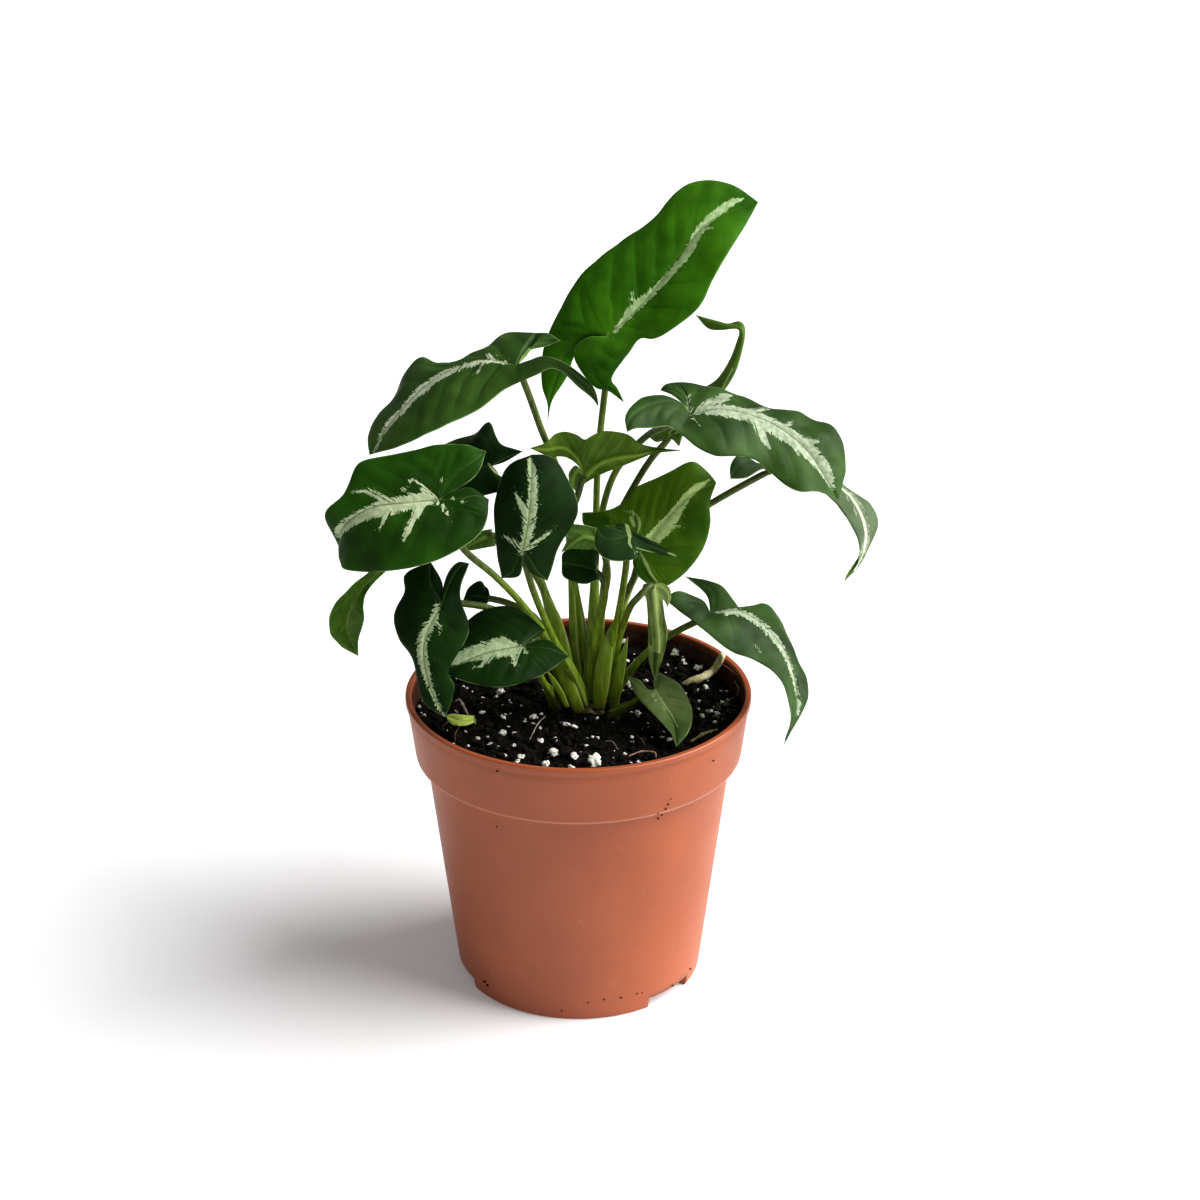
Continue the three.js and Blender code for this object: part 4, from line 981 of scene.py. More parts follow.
        "right": [(-19, 30, 184), (-26, 34, 185), (-28.5, 39, 186.5), (-31, 45, 189), (-36, 45, 185),
                  (-44, 44, 182.5), (-51, 42, 179)],
        "rightNotch": [(-25, 28, 181)],
        "stalk": [(-2, 2, 103), (-8, 10, 129), (-17, 17, 153), (-25, 23, 170)],
        "lines": [[(0.04, -0.09, 0.4), (-0.15, 0.06, 0.5), (-0.33, 0, 0.5)]],
    },
    {
        "name": "leaf_twisted", "look": "folded",
        "midrib": [(30, 20, 192), (43, 18, 205), (53, 16, 221), (55, 16, 233), (49, 20, 234),
                   (40, 28, 234)],
        "left": [(24.5, 27, 190.5), (28, 25, 195), (42, 21, 210), (47, 20, 214), (50.5, 18, 220),
                 (53, 17, 227), (54, 17, 232.5), (48.5, 18, 232), (44, 21, 231.5)],
        "leftNotch": [(27, 23, 190)],
        "right": [(34.5, 15, 191.5), (36.5, 17, 196), (49, 17, 210), (53, 17, 217), (55.5, 17, 226),
                  (56, 17, 233.5), (54.5, 18, 235), (49.5, 21, 233), (44.5, 24, 233)],
        "rightNotch": [(32, 18, 193)],
        "stalk": [(6, 4, 102), (8, 7, 134), (12, 12, 162), (20, 16, 178), (26, 18, 187)],
        "lines": [
            [(0.07, 0.23, 0.4), (0.03, 0.14, 0.4)],
            [(-0.1, -0.66, 0.4), (-0.47, 0, 0.5)],
            [(0.34, -0.47, 0.3), (0.43, -0.16, 0.3), (0.51, -0.01, 0.3)],
        ],
        "shades": [[(0.06, 0.2, 1.1), (-0.38, -0.6, 1)]],
    },
    {
        "name": "leaf_young", "look": "young",
        "midrib": [(17, -22, 175), (22, -24, 172.5), (27.5, -26, 171), (32.5, -28, 169.5)],
        "left": [(11, -19, 176.5), (14, -19, 177.5), (16.5, -19, 177), (18.5, -21, 175.5), (23, -23, 174),
                 (27.5, -25, 172)],
        "leftNotch": [(14, -21, 176)],
        "right": [(6.5, -22, 177.5), (5.5, -25, 174), (7, -28, 170.5), (10, -31, 169.5), (14.5, -32, 169.5),
                  (19.5, -31, 170.5), (18, -27, 172), (22.5, -26, 170.5), (28, -27, 169.5)],
        "rightNotch": [(11.5, -23, 177.5)],
        "stalk": [(7, 1, 103), (11, -2, 123), (14, -7, 141), (16, -14, 159)],
        "lines": [
            [(-0.4, 1, 0.6), (-0.02, 0, 0.8), (-0.17, -0.47, 0.5), (-0.1, -0.97, 0.2)],
            [(0.82, -0.09, 0.3), (1, 0, 0.4)],
        ],
    },
    {
        "name": "leaf_rolled", "look": "rolled",
        "midrib": [(25, -18, 155), (26, -20, 146), (27, -17, 132), (26, -14, 117)],
        "left": [(21.5, -18, 153.5), (23, -17, 148), (23.5, -17, 137), (24, -15, 125)],
        "leftNotch": [(22, -18, 155)],
        "right": [(30, -20, 147.5), (28.5, -19.5, 150), (29, -21, 145), (30, -19, 138), (29, -16, 128)],
        "rightNotch": [(27.5, -18, 155.5), (30.5, -19, 154), (31, -20, 151)],
        "stalk": [(10, 6, 101), (13, 0, 122), (17, -9, 141), (20, -22, 152)],
        "shades": [
            [(0.04, -0.74, 0.3), (0.14, -0.99, 0.4), (0.35, -0.66, 0.3), (0.47, -0.93, 0.3),
             (0.7, -1, 0.2)],
            [(0.08, 0.99, 0.3), (0.27, 0.88, 0.4), (0.56, 0.72, 0.5)],
            [(0.71, 0.06, 1.4), (0.85, -0.26, 1.2), (0.95, -1, 0.4)],
        ],
    },
    {
        "name": "leaf_on_soil", "look": "ground",
        "midrib": [(26, -9, 111), (29, -15, 108), (32, -21, 105), (33, -32, 101)],
        "left": [(28, 1, 113), (35, -3, 110), (39, -16, 106), (37, -26, 103)],
        "leftNotch": [(26, -3, 112)],
        "right": [(17, -2, 113), (20, -12, 110), (26, -21, 107), (31, -27, 104)],
        "rightNotch": [(24, -9, 111.5), (21, -5, 113)],
        "stalk": [(12, -4.2, 100), (15, -5.5, 102.5), (19, -7, 105.5), (23, -8, 108.5)],
        "marks": [
            [(0.03, 0.03, 0.3), (0.19, 0.04, 0.3), (0.35, -0.03, 0.2)],
            [(0.07, -0.25, 0.2), (0.19, -0.25, 0.2)],
        ],
        "lines": [[(0, 0.05, 0.3), (0.23, 0.05, 0.4), (0.47, 0.09, 0.3), (0.68, 0.21, 0.2)]],
    },
    {
        "name": "leaf_small_round", "look": "deep",
        "midrib": [(-31, 14, 136), (-35, 15, 136), (-40, 16, 134)],
        "left": [(-32, 12, 134), (-35, 12, 133), (-38, 13, 133)],
        "leftNotch": [(-31, 13, 135)],
        "right": [(-32, 18.5, 137.5), (-34, 19, 140), (-38, 18, 138)],
        "rightNotch": [(-31, 15, 138)],
        "stalk": [(-3, 3, 103), (-8, 5, 118), (-15, 8, 131), (-24, 11, 135)],
    },
    {
        "name": "leaf_inner_dark", "look": "inner",
        "midrib": [(6, -9, 156), (1, -7, 157), (-5.5, -6, 157.5)],
        "left": [(8, -11, 154), (2, -11, 152), (-5, -9, 154)],
        "leftNotch": [(7, -10, 154)],
        "right": [(7, -4, 161), (1, -2, 162), (-5, -3, 160)],
        "rightNotch": [(7, -7, 158)],
        "stalk": [(5, 2, 103), (7, -1, 130), (9, -7, 150)],
    },
    {
        "name": "leaf_inner_pale", "look": "bright",
        "midrib": [(6.5, -14, 169.5), (1.5, -17, 172), (-5.5, -16, 166)],
        "left": [(6.5, -16, 174.5), (1.5, -18, 176.5), (-2.5, -18, 176.5), (-3.5, -17, 171)],
        "leftNotch": [(6.5, -15, 172)],
        "right": [(6.5, -13, 165.5), (1.5, -15, 166.5), (-2.5, -16, 167)],
        "rightNotch": [(6.5, -13, 167)],
        "stalk": [(4, 1, 103), (6, -2, 131), (10, -9, 155)],
        "lines": [[(0.2, 1, 0.5), (0.09, 0.94, 0.7), (-0.67, 0.74, 0.5)]],
    },
    {
        "name": "leaf_pale_behind", "look": "pale",
        "midrib": [(-29, 0, 166), (-33, 0, 164), (-39, 2, 160)],
        "left": [(-29, -1, 168), (-32, 0, 167), (-36, 1, 164)],
        "leftNotch": [(-29, 0, 167)],
        "right": [(-28, 1, 161), (-33, 1, 160), (-37, 2, 159)],
        "rightNotch": [(-28, 0, 164)],
        "stalk": [(-1, 2, 103), (-6, 4, 128), (-15, 3, 150), (-24, 1, 162)],
    },
]

bladeMesh = {
    "cell": 0.8, "arch": 0.07, "thickness": 0.42, "edgeThickness": 0.16, "ribBelow": 0.75,
    "lobeRib": 0.42,       # how far across a lobe its own rib ends
    "lobeRibBelow": 0.45, "veinBelow": 0.1, "veinSlant": 0.75, "ribSunk": 0.3,
}


# Points of one half of a blade, row by row from its lobe's tip, with columns from the middle to the margin.
def leafGrid(leaf, side, lobeRows, bladeRows, columns):
    margin = leaf["left" if side > 0 else "right"]
    notch = leaf["leftNotch" if side > 0 else "rightNotch"]
    joint, tip = leaf["midrib"][0], leaf["midrib"][-1]
    midrib = SmoothCurve(leaf["midrib"])
    sinus = SmoothCurve([margin[0], *notch[::-1], joint])
    edge = SmoothCurve([*margin, tip])
    tries = np.linspace(0, 1, 61)
    gaps = np.linalg.norm(edge.at(tries) - np.array(joint), axis=1)
    abreast = float(np.clip(tries[np.argmin(gaps)], 0.1, 0.6))
    lobe = np.linspace(0, 1, lobeRows + 1)
    blade = np.linspace(0, 1, bladeRows + 1)[1:]
    inner = np.vstack([sinus.at(lobe), midrib.at(blade)])
    outer = edge.at(np.concatenate([abreast * lobe, abreast + (1 - abreast) * blade]))
    along = np.vstack([sinus.tangent(lobe), midrib.tangent(blade)])
    across = outer - inner
    width = np.linalg.norm(across, axis=1)
    up = unit(np.cross(along, across) * side)
    up = unit(smoothRows(up * width[:, None], 5))
    out = np.linspace(0, 1, columns + 1) ** 1.15
    lift = bladeMesh["arch"] * width[:, None] * 4 * out * (1 - out)
    return inner[:, None] + across[:, None] * out[None, :, None] + up[:, None] * lift[:, :, None], out


def smoothRows(rows, reach):
    weights = np.exp(-np.linspace(-2, 2, 2 * reach + 1) ** 2)
    weights /= weights.sum()
    padded = np.vstack([rows[:1]] * reach + [rows] + [rows[-1:]] * reach)
    return sum(w * padded[i:i + len(rows)] for i, w in enumerate(weights))


# Reads a place on the blade from share along and share across.
def gridPoint(grids, lobeRows, bladeRows, along, across):
    grid, out = grids[1 if across >= 0 else -1]
    row = lobeRows + along * (bladeRows if along >= 0 else lobeRows)
    row = min(max(row, 0), len(grid) - 1.001)
    column = np.interp(min(abs(across), 1), out, np.arange(len(out)))
    i, j = int(row), min(int(column), len(out) - 2)
    u, v = row - i, column - j
    top = grid[i, j] * (1 - v) + grid[i, j + 1] * v
    return top * (1 - u) + (grid[i + 1, j] * (1 - v) + grid[i + 1, j + 1] * v) * u


# Each point's distance from the nearest point of a line
def nearestGap(points, line):
    gaps = np.full(len(points), 1e9)
    for start in range(0, len(line), 40):
        block = line[start:start + 40]
        gaps = np.minimum(gaps, np.sqrt(((points[:, None] - block[None]) ** 2).sum(-1)).min(1))
    return gaps


# How far each point lies inside the nearest stroke, below 0 outside all of them
def markField(points, strokes, place):
    field = np.full(len(points), -9.0)
    for stroke in strokes:
        stroke = np.array(stroke, float)
        centres = [place(a, c) for a, c, _ in stroke]
        steps = np.concatenate([[0], np.cumsum(np.linalg.norm(np.diff(centres, axis=0), axis=1))])
        count = max(int(steps[-1] / 0.4), 2)
        shares = np.interp(np.linspace(0, steps[-1], count), steps, np.arange(len(stroke)))
        for share in shares:
            k = min(int(share), len(stroke) - 2)
            w = share - k
            centre = np.array(centres[k]) * (1 - w) + np.array(centres[k + 1]) * w
            width = stroke[k, 2] * (1 - w) + stroke[k + 1, 2] * w
            field = np.maximum(field, width - np.linalg.norm(points - centre, axis=1))
    return field


# Numbers the points of both halves once, with the midrib shared and each tip drawn to one point.
def joinHalves(grids, lobeRows):
    points, faces, numbers, spots = [], [], {}, []
    for side in (1, -1):
        grid, out = grids[side]
        number = np.zeros(grid.shape[:2], int)
        width = np.linalg.norm(grid[:, -1] - grid[:, 0], axis=1)
        for i, j in np.ndindex(number.shape):
            if side < 0 and j == 0 and i >= lobeRows:
                number[i, j] = numbers[1][i, 0]
            elif i in (0, len(grid) - 1) and j > 0:
                number[i, j] = number[i, 0]
            else:
                number[i, j] = len(points)
                points.append(grid[i, j])
                spots.append((i, out[j], width[i]))
        numbers[side] = number
        a, b, c, d = number[:-1, :-1], number[1:, :-1], number[1:, 1:], number[:-1, 1:]
        quads = np.stack([a, b, c, d] if side > 0 else [a, d, c, b], axis=-1).reshape(-1, 4)
        faces += [tuple(dict.fromkeys(q)) for q in quads.tolist()]
    row, out, width = np.array(spots).T
    return np.array(points), [f for f in faces if len(f) > 2], row, out, width


# How far across a lobe its rib lies, from the joint (0) to the lobe's tip (1)
def lobeRib(share):
    return bladeMesh["lobeRib"] * (1 - (1 - share) ** 3)


# How far the skin stands off the blade: veins and ribs sunk, the skin swollen unevenly between them,
# and the margin waved. A leaf's own table may change how much of each it has.
def skinRelief(leaf, length, points, rise, gaps):
    ribGap, marginGap, veinGap, spacing, fade, away = gaps
    places = [Vector(p) for p in points]
    lift, aside = Vector((0, 0, 9)), Vector((5, 0, 0))
    swell = np.array([noise.noise(p * 0.075 + lift) + 0.4 * noise.noise(p * 0.19) for p in places])
    relief = leaf.get("swell", 0.9) * min(1, length / 45) * swell * smoothStep(ribGap, 0, 6)
    quilt = leaf.get("quilt", 0.2) * away
    relief += quilt * (0.35 + 0.65 * fade) * (np.minimum(veinGap / spacing * 2, 1) - 0.5)
    relief -= quilt * 0.6 * fade * np.exp(-(veinGap / 0.55) ** 2)
    relief -= bladeMesh["ribSunk"] * np.exp(-(ribGap / 0.7) ** 2) * smoothStep(marginGap, 0.1, 1.0)
    ripple = np.array([noise.noise(p * 0.13 + aside) for p in places])
    waved = leaf.get("wave", 0.6) * min(1, length / 50) * (1 - smoothStep(marginGap, 0, 7))
    return relief + waved * ripple * smoothStep(rise, 3, 10)


def makeLeaf(leaf, materials):
    length = SmoothCurve(leaf["midrib"]).length
    cell = min(bladeMesh["cell"], length / 40)
    bladeRows = int(length / cell)
    lobeLength = max(SmoothCurve([leaf[s][0], *leaf[s + "Notch"][::-1], leaf["midrib"][0]]).length
                     for s in ("left", "right"))
    lobeRows = max(int(lobeLength / cell), 8)
    grids = {}
    for side in (1, -1):
        rough, _ = leafGrid(leaf, side, 10, 20, 1)
        columns = max(int(np.linalg.norm(rough[:, 1] - rough[:, 0], axis=1).max() / cell), 8)
        grids[side] = leafGrid(leaf, side, lobeRows, bladeRows, columns)
    place = lambda a, c: gridPoint(grids, lobeRows, bladeRows, a, c)
    points, faces, row, out, width = joinHalves(grids, lobeRows)
    normals = pointNormals(points, faces)
    rim = rimEdges(faces)
    marginGap = nearestGap(points, points[sorted({p for edge in rim for p in edge})])

    # the midrib, and one rib down the middle of each lobe
    ribs = [[place(a, 0) for a in np.linspace(0, 0.985, 120)]]
    for side in (1, -1):
        ribs.append([place(-s, side * lobeRib(s)) for s in np.linspace(0, 0.9, 60)])
    ribGaps = [nearestGap(points, np.array(rib)) for rib in ribs]
    ribGap = np.minimum(ribGaps[0], np.minimum(*ribGaps[1:]))

    # side veins, evenly spaced along each rib and slanted forward
    blade = np.clip((row - lobeRows) / bladeRows, 0, 1)
    lobe = np.clip(1 - row / lobeRows, 0, 1)    # 0 at the joint, 1 at the lobe's tip
    spacing = leaf.get("veinSpacing", max(3, 0.13 * length + 0.8))
    forward = np.where(row >= lobeRows, blade * length - bladeMesh["veinSlant"] * out * width,
                       lobe * lobeLength - bladeMesh["veinSlant"] * np.abs(out - lobeRib(lobe)) * width)
    places = [Vector(p) for p in points]
    drift = np.array([noise.noise(p * 0.045) * 3 + noise.noise(p * 0.15) for p in places])
    phase = (forward + drift) / spacing + 40
    veinGap = np.abs((phase % 1) - 0.5) * spacing
    fade = 1 - smoothStep(np.maximum(blade, lobe * 0.8), 0.2, 0.85)
    away = smoothStep(ribGap, 0.4, 4.0) * smoothStep(marginGap, 0.5, 5.0)

    # an upper and a lower skin, with the ribs and veins raised on the lower one
    relief = skinRelief(leaf, length, points, width * out, (ribGap, marginGap, veinGap, spacing, fade, away))
    edge = bladeMesh["edgeThickness"]
    half = (edge + (bladeMesh["thickness"] - edge) * smoothStep(marginGap, 0, 1.2)) / 2
    taper = 1 - 0.75 * np.maximum(blade, lobe)
    below = bladeMesh["ribBelow"] * taper * np.exp(-(ribGaps[0] / (0.9 * taper + 0.25)) ** 2)
    for gap in ribGaps[1:]:
        raised = bladeMesh["lobeRibBelow"] * taper * np.exp(-(gap / (0.5 * taper + 0.3)) ** 2)
        below = np.maximum(below, raised)
    below += bladeMesh["veinBelow"] * np.exp(-(veinGap / 0.4) ** 2) * away
    top = points + normals * (half + relief)[:, None]
    bottom = points - normals * (half - relief + below)[:, None]

    count, upper = len(points), len(faces)
    faces += [tuple(i + count for i in reversed(f)) for f in faces]
    faces += [(b, a, a + count, b + count) for a, b in rim]
    faceSlots = [0] * upper + [1] * upper + [0] * len(rim)
    held = {"veinPhase": phase, "veinGap": veinGap, "veinFade": fade * away, "ribGap": ribGap,
            "marginGap": marginGap}
    for kind in ("mark", "line", "shade"):
        held[kind + "Edge"] = markField(points, leaf.get(kind + "s", []), place)
    fields = {name: np.tile(values, 2) for name, values in held.items()}
    return addPiece(leaf["name"] + "_blade", np.vstack([top, bottom]), faces, materials,
                    (leaf["name"],), faceSlots, fields)


def pointNormals(points, faces):
    normals = np.zeros_like(points)
    for size in (3, 4):
        group = np.array([f for f in faces if len(f) == size])
        if not len(group):
            continue
        first = points[group[:, 2]] - points[group[:, 0]]
        second = points[group[:, -1]] - points[group[:, 1]]
        facing = np.cross(first, second)
        for k in range(size):
            np.add.at(normals, group[:, k], facing)
    return unit(normals)


def rimEdges(faces):
    edges = set()
    for face in faces:
        edges.update(zip(face, face[1:] + face[:1]))
    return [(a, b) for a, b in edges if (b, a) not in edges]


def leafTopFinish(name, look):
    material, wire = newMaterial(name)
    phase = wire.attribute("veinPhase")
    ribGap = wire.attribute("ribGap")
    marginGap = wire.attribute("marginGap")
    markEdge = wire.attribute("markEdge")
    vein = wire.attribute("veinGap").step(0.6, 0.15) * wire.attribute("veinFade")
    broad = wire.grain(22, 2, None, 1).step(0.3, 0.7)
    blotch = wire.grain(4.5, 4).step(0.3, 0.72)
    fine = wire.grain(0.5, 4, None, 2)
    colour = (broad * 0.78 + blotch * 0.22).blend(look["dark"], look["puff"])
    # painted shade in the side veins' valleys, strongest near the joint
    colour = (vein * 0.45).blend(colour, look["dark"])

    # the silvery mark, with teeth that follow the side veins
    along = wire.node("ShaderNodeCombineXYZ", None, {"X": phase * 7, "Y": markEdge * 0.35})
    streak = wire.node("ShaderNodeTexNoise", None, {"Vector": along, "Scale": 1.0, "Detail": 3.0})
    jag = (streak - 0.5) * 6 + (wire.grain(1, 4, None, 6) - 0.5) * 1.6
    edge = markEdge + jag * markEdge.step(-4, 1.5) * look.get("jag", 1)
    mark = edge.step(-0.1, 0.1)
    freckle = wire.grain(0.6, 2, None, 8).step(0.66, 0.72) * look.get("freckles", 0.5)
    freckle = freckle * markEdge.step(-2.6, -0.8)
    mark = mark.larger(freckle)
    silver = wire.grain(1.8, 3, None, 9).step(0.35, 0.65).blend(look["mark"], look["markPale"])
    silver = (wire.attribute("veinGap").step(0.3, 0.1) * 0.3).blend(silver, look["rib"])
    colour = mark.blend(colour, silver)
    ribLine = ribGap.step(0.42, 0.16) * (mark * 0.6 + 0.2)
    colour = ribLine.blend(colour, look["rib"])
    shade = wire.attribute("shadeEdge").step(-0.5, 0.5) * 0.85
    colour = shade.blend(colour, look.get("shade", look["dark"]))
    line = wire.attribute("lineEdge").step(-0.08, 0.1)
    colour = (line * 0.85).blend(colour, look["line"])
    rimLine = marginGap.step(0.46, 0.14) * wire.grain(9, 2, None, 12).step(0.4, 0.62)
    colour = (rimLine * look.get("rim", 0.7)).blend(colour, look["edge"])
    rough = 0.5 + wire.grain(2, 3, None, 4) * 0.12
    height = fine * 0.025 + wire.cells(0.9) * 0.015
    fixed = {"Sheen Weight": look.get("sheen", 0.02), "Sheen Roughness": 0.5,
             "Sheen Tint": (0.8, 0.95, 0.6, 1)}
    return finish(material, wire, colour, rough, height, look.get("gloss", 0.13), fixed)


def leafUnderFinish(name, look):
    material, wire = newMaterial(name)
    ribGap = wire.attribute("ribGap")
    blotch = wire.grain(6, 4, None, 3).step(0.3, 0.7)
    # the underside's paler green: partly its own colour, partly painted light that stands in for light
    # through the blade
    colour = blotch.blend(look["under"], look["underPale"])
    colour = (wire.attribute("veinGap").step(0.9, 0.2) * 0.25).blend(colour, look["underRib"])
    colour = (ribGap.step(0.8, 0.45) * 0.75).blend(colour, look["underRib"])
    shade = wire.attribute("shadeEdge").step(-0.4, 0.4) * look.get("underShade", 0)
    colour = shade.blend(colour, look.get("shade", look["dark"]))
    height = wire.grain(0.6, 3) * 0.05
    return finish(material, wire, colour, 0.5, height, 0.22)


# What a leaf's age and place do to its colours; the deep copy carries painted shade.
looks = {
    "mature": {"dark": (0.008, 0.034, 0.001), "puff": (0.021, 0.084, 0.002), "mark": (0.37, 0.44, 0.26),
               "markPale": (0.52, 0.59, 0.39), "rib": (0.14, 0.19, 0.07), "edge": (0.28, 0.38, 0.17),
               "line": (0.34, 0.44, 0.18), "under": (0.045, 0.11, 0.010), "underPale": (0.075, 0.16, 0.018),
               "underRib": (0.16, 0.27, 0.05)},
}
looks["top"] = {**looks["mature"], "dark": (0.018, 0.080, 0.001), "puff": (0.052, 0.165, 0.005),
                "mark": (0.24, 0.36, 0.15), "markPale": (0.38, 0.50, 0.27), "rim": 0.25, "jag": 0.7,
                "gloss": 0.07}
looks["velvet"] = {**looks["mature"], "dark": (0.012, 0.044, 0.003), "puff": (0.048, 0.110, 0.015),
                   "mark": (0.38, 0.44, 0.29), "markPale": (0.54, 0.59, 0.44), "gloss": 0.16, "sheen": 0.03}
looks["sunlit"] = {**looks["velvet"], "dark": (0.007, 0.026, 0.002), "puff": (0.044, 0.098, 0.016),
                   "mark": (0.23, 0.28, 0.18), "markPale": (0.37, 0.42, 0.30), "rib": (0.05, 0.08, 0.03)}
# deep: a deep green with painted shade, for leaves that sit under and behind the others
looks["deep"] = {**looks["mature"], "dark": (0.002, 0.011, 0.001), "puff": (0.009, 0.036, 0.002),
                 "mark": (0.26, 0.33, 0.18), "markPale": (0.39, 0.46, 0.29), "edge": (0.16, 0.24, 0.10),
                 "gloss": 0.09}
looks["inner"] = {**looks["mature"], "dark": (0.005, 0.026, 0.001), "puff": (0.017, 0.064, 0.002)}
looks["bright"] = {**looks["mature"], "dark": (0.026, 0.088, 0.001), "puff": (0.090, 0.180, 0.006),
                   "mark": (0.38, 0.52, 0.18), "markPale": (0.50, 0.63, 0.28), "rib": (0.40, 0.54, 0.19),
                   "jag": 0.7}
looks["tender"] = {**looks["mature"], "dark": (0.036, 0.098, 0.004), "puff": (0.080, 0.17, 0.012),
                   "under": (0.080, 0.165, 0.010), "underPale": (0.14, 0.25, 0.025),
                   "underRib": (0.32, 0.46, 0.07)}
looks["young"] = {**looks["mature"], "dark": (0.010, 0.036, 0.006), "puff": (0.026, 0.066, 0.015), "rim": 1}
looks["rolled"] = {**looks["mature"], "dark": (0.14, 0.21, 0.040), "puff": (0.30, 0.38, 0.12),
                   "rib": (0.20, 0.27, 0.07), "shade": (0.034, 0.070, 0.010), "underShade": 0.85,
                   "line": (0.52, 0.58, 0.30), "under": (0.12, 0.19, 0.035), "underPale": (0.25, 0.33, 0.10),
                   "underRib": (0.30, 0.38, 0.13)}
looks["hanging"] = {**looks["mature"], "dark": (0.035, 0.075, 0.007), "puff": (0.075, 0.13, 0.022)}
looks["silver"] = {**looks["velvet"], "dark": (0.040, 0.074, 0.026), "puff": (0.110, 0.155, 0.078),
                   "mark": (0.16, 0.20, 0.12), "markPale": (0.27, 0.31, 0.22), "line": (0.46, 0.50, 0.38),
                   "rib": (0.30, 0.35, 0.24), "shade": (0.009, 0.038, 0.001)}
looks["folded"] = {**looks["mature"], "dark": (0.060, 0.12, 0.012), "puff": (0.16, 0.27, 0.050),
                   "under": (0.13, 0.23, 0.035), "underPale": (0.23, 0.35, 0.09),
                   "underRib": (0.38, 0.46, 0.19)}
looks["ground"] = {**looks["mature"], "dark": (0.038, 0.064, 0.014), "puff": (0.140, 0.190, 0.065),
                   "mark": (0.26, 0.32, 0.16), "markPale": (0.34, 0.40, 0.22), "freckles": 0}
looks["pale"] = {**looks["mature"], "dark": (0.10, 0.15, 0.04), "puff": (0.20, 0.28, 0.10)}


def makeLeaves():
    skins = {}
    for key, look in looks.items():
        skins[key] = [leafTopFinish("leaf_face_" + key, look), leafUnderFinish("leaf_back_" + key, look)]
    for leaf in leaves:
        makeLeaf(leaf, skins[leaf["look"]])


makeLeaves()
print("leaves are made")


# Stalks: every leaf stalk and the crown they grow from

stalk = {
    "radius": 1.15, "sheathRadius": 2.75, "sheathShare": 0.42, "flat": 0.62, "sides": 28, "stepLength": 1.2,
    "groove": 0.3, "lip": 0.16, "lipPlace": 0.62,     # shares of the radius, and the cosine from the opening
    "jointDrop": 1.1, "endReach": 1.2, "endDrop": 0.9,
    "stainTop": 108.5, "stainDepth": 9, "sheathFlat": 0.3, "sheathStainTop": 108, "sheathStainDepth": 8,
    "crownTop": 101, "crownDepth": 14,
    # sheaths that end in a free tip: centre line and half width along it
    "sheaths": [
        {"path": [(7, -3.5, 101), (8.3, -3.6, 115), (9.8, -3.4, 125), (11.9, -2.4, 134.3)],
         "widths": (2, 2.9, 2.4, 0.2)},
        {"path": [(0.5, -5, 100.5), (-4.4, -5.8, 114), (-7.4, -6, 126), (-8.9, -6, 133.2)],
         "widths": (2, 2.6, 1.8, 0.3)},
        {"path": [(-3, -1, 112), (-5.5, -2, 124), (-8.2, -2.2, 136), (-11.8, -2.4, 146)],
         "widths": (1.8, 2.6, 2.1, 0.15)},
        {"path": [(-4, -7.4, 104), (-6.3, -8.8, 110.3), (-8.6, -9, 115), (-10.9, -9.1, 119)],
         "widths": (0.9, 1.1, 1, 0.2)},
        {"path": [(12, -2, 101), (13.4, -2.6, 110), (15.2, -2.6, 120), (17, -2, 128)],
         "widths": (1.6, 1.9, 1.5, 0.2)},
    ],
}


def stalkFinish():
    material, wire = newMaterial("stalk_skin")
    share = wire.attribute("stalkShare")
    streak = wire.grain(1.1, 5, (1, 1, 0.1)).step(0.35, 0.7)
    fresh = streak.blend((0.150, 0.235, 0.012), (0.270, 0.370, 0.035))
    brown = streak.blend((0.052, 0.078, 0.012), (0.095, 0.125, 0.028))
    colour = share.step(0.35, 0.9).blend(fresh, brown)
    base = wire.attribute("baseTint")
    stain = wire.grain(2.2, 3, None, 6).step(0.45, 0.65)
    colour = base.blend(colour, stain.blend((0.060, 0.075, 0.010), (0.110, 0.045, 0.018)))
    colour = (wire.attribute("wing") * 0.6).blend(colour, (0.44, 0.54, 0.17))
    height = wire.grain(0.5, 3, (1, 1, 0.15), 3) * 0.07
    return finish(material, wire, colour, 0.42, height, 0.35)


# Squeezes rings about their middles: wide across the view, thin towards it.
def flatten(rings, amounts):
    flat = rings - rings.mean(axis=1, keepdims=True)
    flat[:, :, 1] *= amounts[:, None]
    return rings.mean(axis=1, keepdims=True) + flat


# How much of the dark stain at the plant's foot each ring has
def stainAt(rings, top, depth):
    return np.clip((top - rings[:, 0, 2]) / depth, 0, 1) ** 1.5


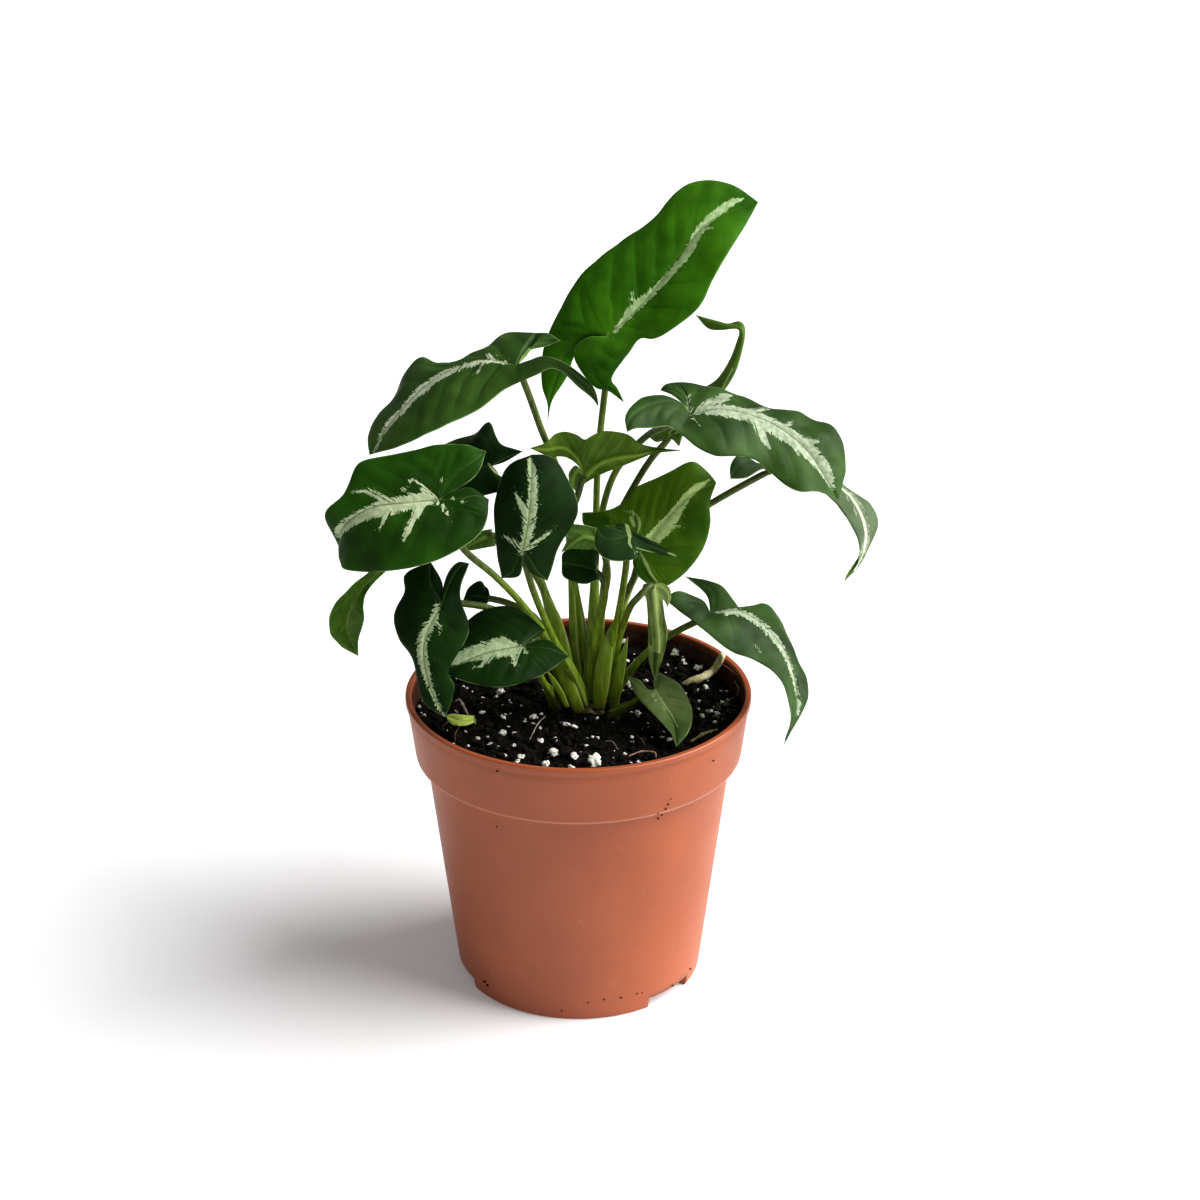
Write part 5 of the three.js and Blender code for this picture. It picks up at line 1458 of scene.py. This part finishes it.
# One leaf's stalk. Its foot is a sheath, open on its inner side, that narrows to a round stalk.
def leafStalk(leaf, turns):
    joint, ahead, left, right = [np.array(p, float) for p in (*leaf["midrib"][:2], leaf["left"][1],
                                                              leaf["right"][1])]
    up = unit(np.cross(ahead - joint, left - right))
    end = joint + unit(ahead - joint) * stalk["endReach"] - up * stalk["endDrop"]
    curve = SmoothCurve([*leaf["stalk"], joint - up * stalk["jointDrop"], end])
    opening = 0 if joint[0] > leaf["stalk"][0][0] else math.pi

    def sheathAt(share):
        return max(0, 1 - share / stalk["sheathShare"]) ** 1.15

    def radiusAt(share, angle):
        sheath = sheathAt(share)
        r = stalk["radius"] + (stalk["sheathRadius"] - stalk["radius"]) * sheath
        facing = math.cos(angle - opening)
        groove = stalk["groove"] * min(1, 2.5 * sheath) * max(0, facing) ** 6
        lips = stalk["lip"] * min(1, 2.5 * sheath) * math.exp(-((facing - stalk["lipPlace"]) / 0.16) ** 2)
        return r * (1 - groove + lips) * (1 - 0.25 * smoothStep(share, 0.97, 1.0))

    steps = max(int(curve.length / stalk["stepLength"]), 12)
    rings, shares = tubeRings(curve, radiusAt, stalk["sides"], steps)
    sheaths = np.array([sheathAt(share) for share in shares])
    rings = flatten(rings, 1 - (1 - stalk["flat"]) * np.minimum(1, 2 * sheaths))
    base = stainAt(rings, stalk["stainTop"], stalk["stainDepth"])
    strength = np.minimum(1, 3 * sheaths) * (1 - base)
    wing = np.exp(-((np.cos(turns - opening) - stalk["lipPlace"]) / 0.12) ** 2)
    return rings, shares, base, strength[:, None] * wing[None]


def freeSheath(sheath, turns):
    curve = SmoothCurve(sheath["path"])
    widths = SmoothCurve([(i, w, 0) for i, w in enumerate(sheath["widths"])])
    halfWidth = lambda share, a: max(0.12, np.interp(share * 3, widths.dense[:, 0], widths.dense[:, 1]))
    rings, shares = tubeRings(curve, halfWidth, stalk["sides"], 40)
    rings = flatten(rings, np.full(len(shares), stalk["sheathFlat"]))
    base = stainAt(rings, stalk["sheathStainTop"], stalk["sheathStainDepth"])
    wing = np.exp(-((np.abs(np.cos(turns)) - 1) / 0.05) ** 2)
    return rings, shares * 0.2, base, wing[None] * (1 - base)[:, None]


# A knob of the crown, rounded at its top
def crownKnob(x, y, radius):
    top, deep = stalk["crownTop"], stalk["crownDepth"]
    curve = SmoothCurve([(x, y, top - deep), (x, y, top - 4), (x, y, top + 1.5)])

    def dome(share, angle):
        height = max(0, (share - 0.6) / 0.4)
        return radius * math.sqrt(max(0.02, 1 - height ** 2)) * (0.86 + 0.08 * math.sin(3 * angle + x))

    rings, shares = tubeRings(curve, dome, stalk["sides"], 24)
    return rings, shares * 0, shares * 0 + 1, np.zeros(rings.shape[:2])


def makeStalks(material):
    turns = 2 * np.pi * np.arange(stalk["sides"]) / stalk["sides"]
    parts = [leafStalk(leaf, turns) for leaf in leaves]
    parts += [freeSheath(sheath, turns) for sheath in stalk["sheaths"]]
    parts += [crownKnob(*knob) for knob in soil["crown"]]
    points, faces = [], []
    fields = {"stalkShare": [], "baseTint": [], "wing": []}
    for rings, shares, base, wing in parts:
        made, madeFaces = closedTube(rings, len(points))
        points += made
        faces += madeFaces
        fields["stalkShare"].extend(np.repeat(shares, rings.shape[1]))
        fields["baseTint"].extend(np.repeat(base, rings.shape[1]))
        fields["wing"].extend(wing.ravel())
    addPiece("stalks_and_crown", points, faces, [material], ("stalks",), None, fields)


makeStalks(stalkFinish())
print("stalks are made")


# Pale root and seedling

oldRoot = {
    "radius": 1.4, "sides": 24, "steps": 60,
    "route": [(36.5, 20.5, 93.5), (37.3, 20.8, 97), (39.6, 20.4, 100), (42.6, 20.8, 100.9),
              (45.5, 22.4, 101.5), (47.6, 25.1, 101.8), (49.3, 24.8, 104.1), (50.5, 24.2, 106.7),
              (51.1, 22.9, 109.9)],
}
seedling = {
    "name": "seedling",
    "midrib": [(-36, -9.8, 100.6), (-40.2, -11.2, 100.8), (-45.6, -8.2, 101)],
    "left": [(-35.8, -11, 100), (-38.6, -13.2, 99.9), (-42.6, -13.2, 99.9), (-44.8, -10.8, 100.3)],
    "leftNotch": [(-36, -10.4, 100.4)],
    "right": [(-35.8, -8.6, 101.3), (-40.5, -8.6, 101.8), (-44.2, -7.6, 101.5)],
    "rightNotch": [(-36, -9.2, 101)],
    "quilt": 0.1, "wave": 0.2, "swell": 0.2, "veinSpacing": 2.4,
}


def rootFinish():
    material, wire = newMaterial("root_skin")
    patch = wire.grain(1.8, 5).step(0.4, 0.7)
    colour = patch.blend((0.60, 0.53, 0.28), (0.78, 0.71, 0.47))
    dirt = wire.grain(0.9, 5, None, 5).step(0.62, 0.74) * 0.6
    colour = dirt.blend(colour, (0.20, 0.14, 0.06))
    height = wire.grain(0.6, 5, None, 2) * 0.3
    return finish(material, wire, colour, 0.75, height)


def makeRoot(material):
    curve = SmoothCurve(oldRoot["route"])

    def radiusAt(share, angle):
        taper = oldRoot["radius"] * (0.88 + 0.12 * math.sin(share * math.pi))
        knob = noise.noise(Vector((share * 13, math.cos(angle) * 0.9, math.sin(angle) * 0.9)))
        node = 0.1 * math.sin(share * 38) * (1 - share)
        return taper * (1 + 0.24 * knob + node) * (1 - 0.4 * smoothStep(share, 0.95, 1.0))

    rings, _ = tubeRings(curve, radiusAt, oldRoot["sides"], oldRoot["steps"])
    points, faces = closedTube(rings, 0)
    addPiece("pale_root", points, faces, [material], ("old_root",))


def makeSeedling():
    look = {**looks["rolled"], "dark": (0.42, 0.56, 0.07), "puff": (0.56, 0.68, 0.16)}
    skins = [leafTopFinish("seedling_face", look), leafUnderFinish("seedling_back", look)]
    piece = makeLeaf(seedling, skins)
    x, y, z = seedling["midrib"][0]
    curve = SmoothCurve([(x, y, soil["level"] - 4), (x + 0.1, y, 99), (x, y, z)])
    rings, _ = tubeRings(curve, lambda share, a: 0.6, 12, 10)
    points, faces = closedTube(rings, 0)
    addPiece("seedling_stem", points, faces, [skins[1]], ("seedling",))


makeRoot(rootFinish())
makeSeedling()
print("root and seedling are made")
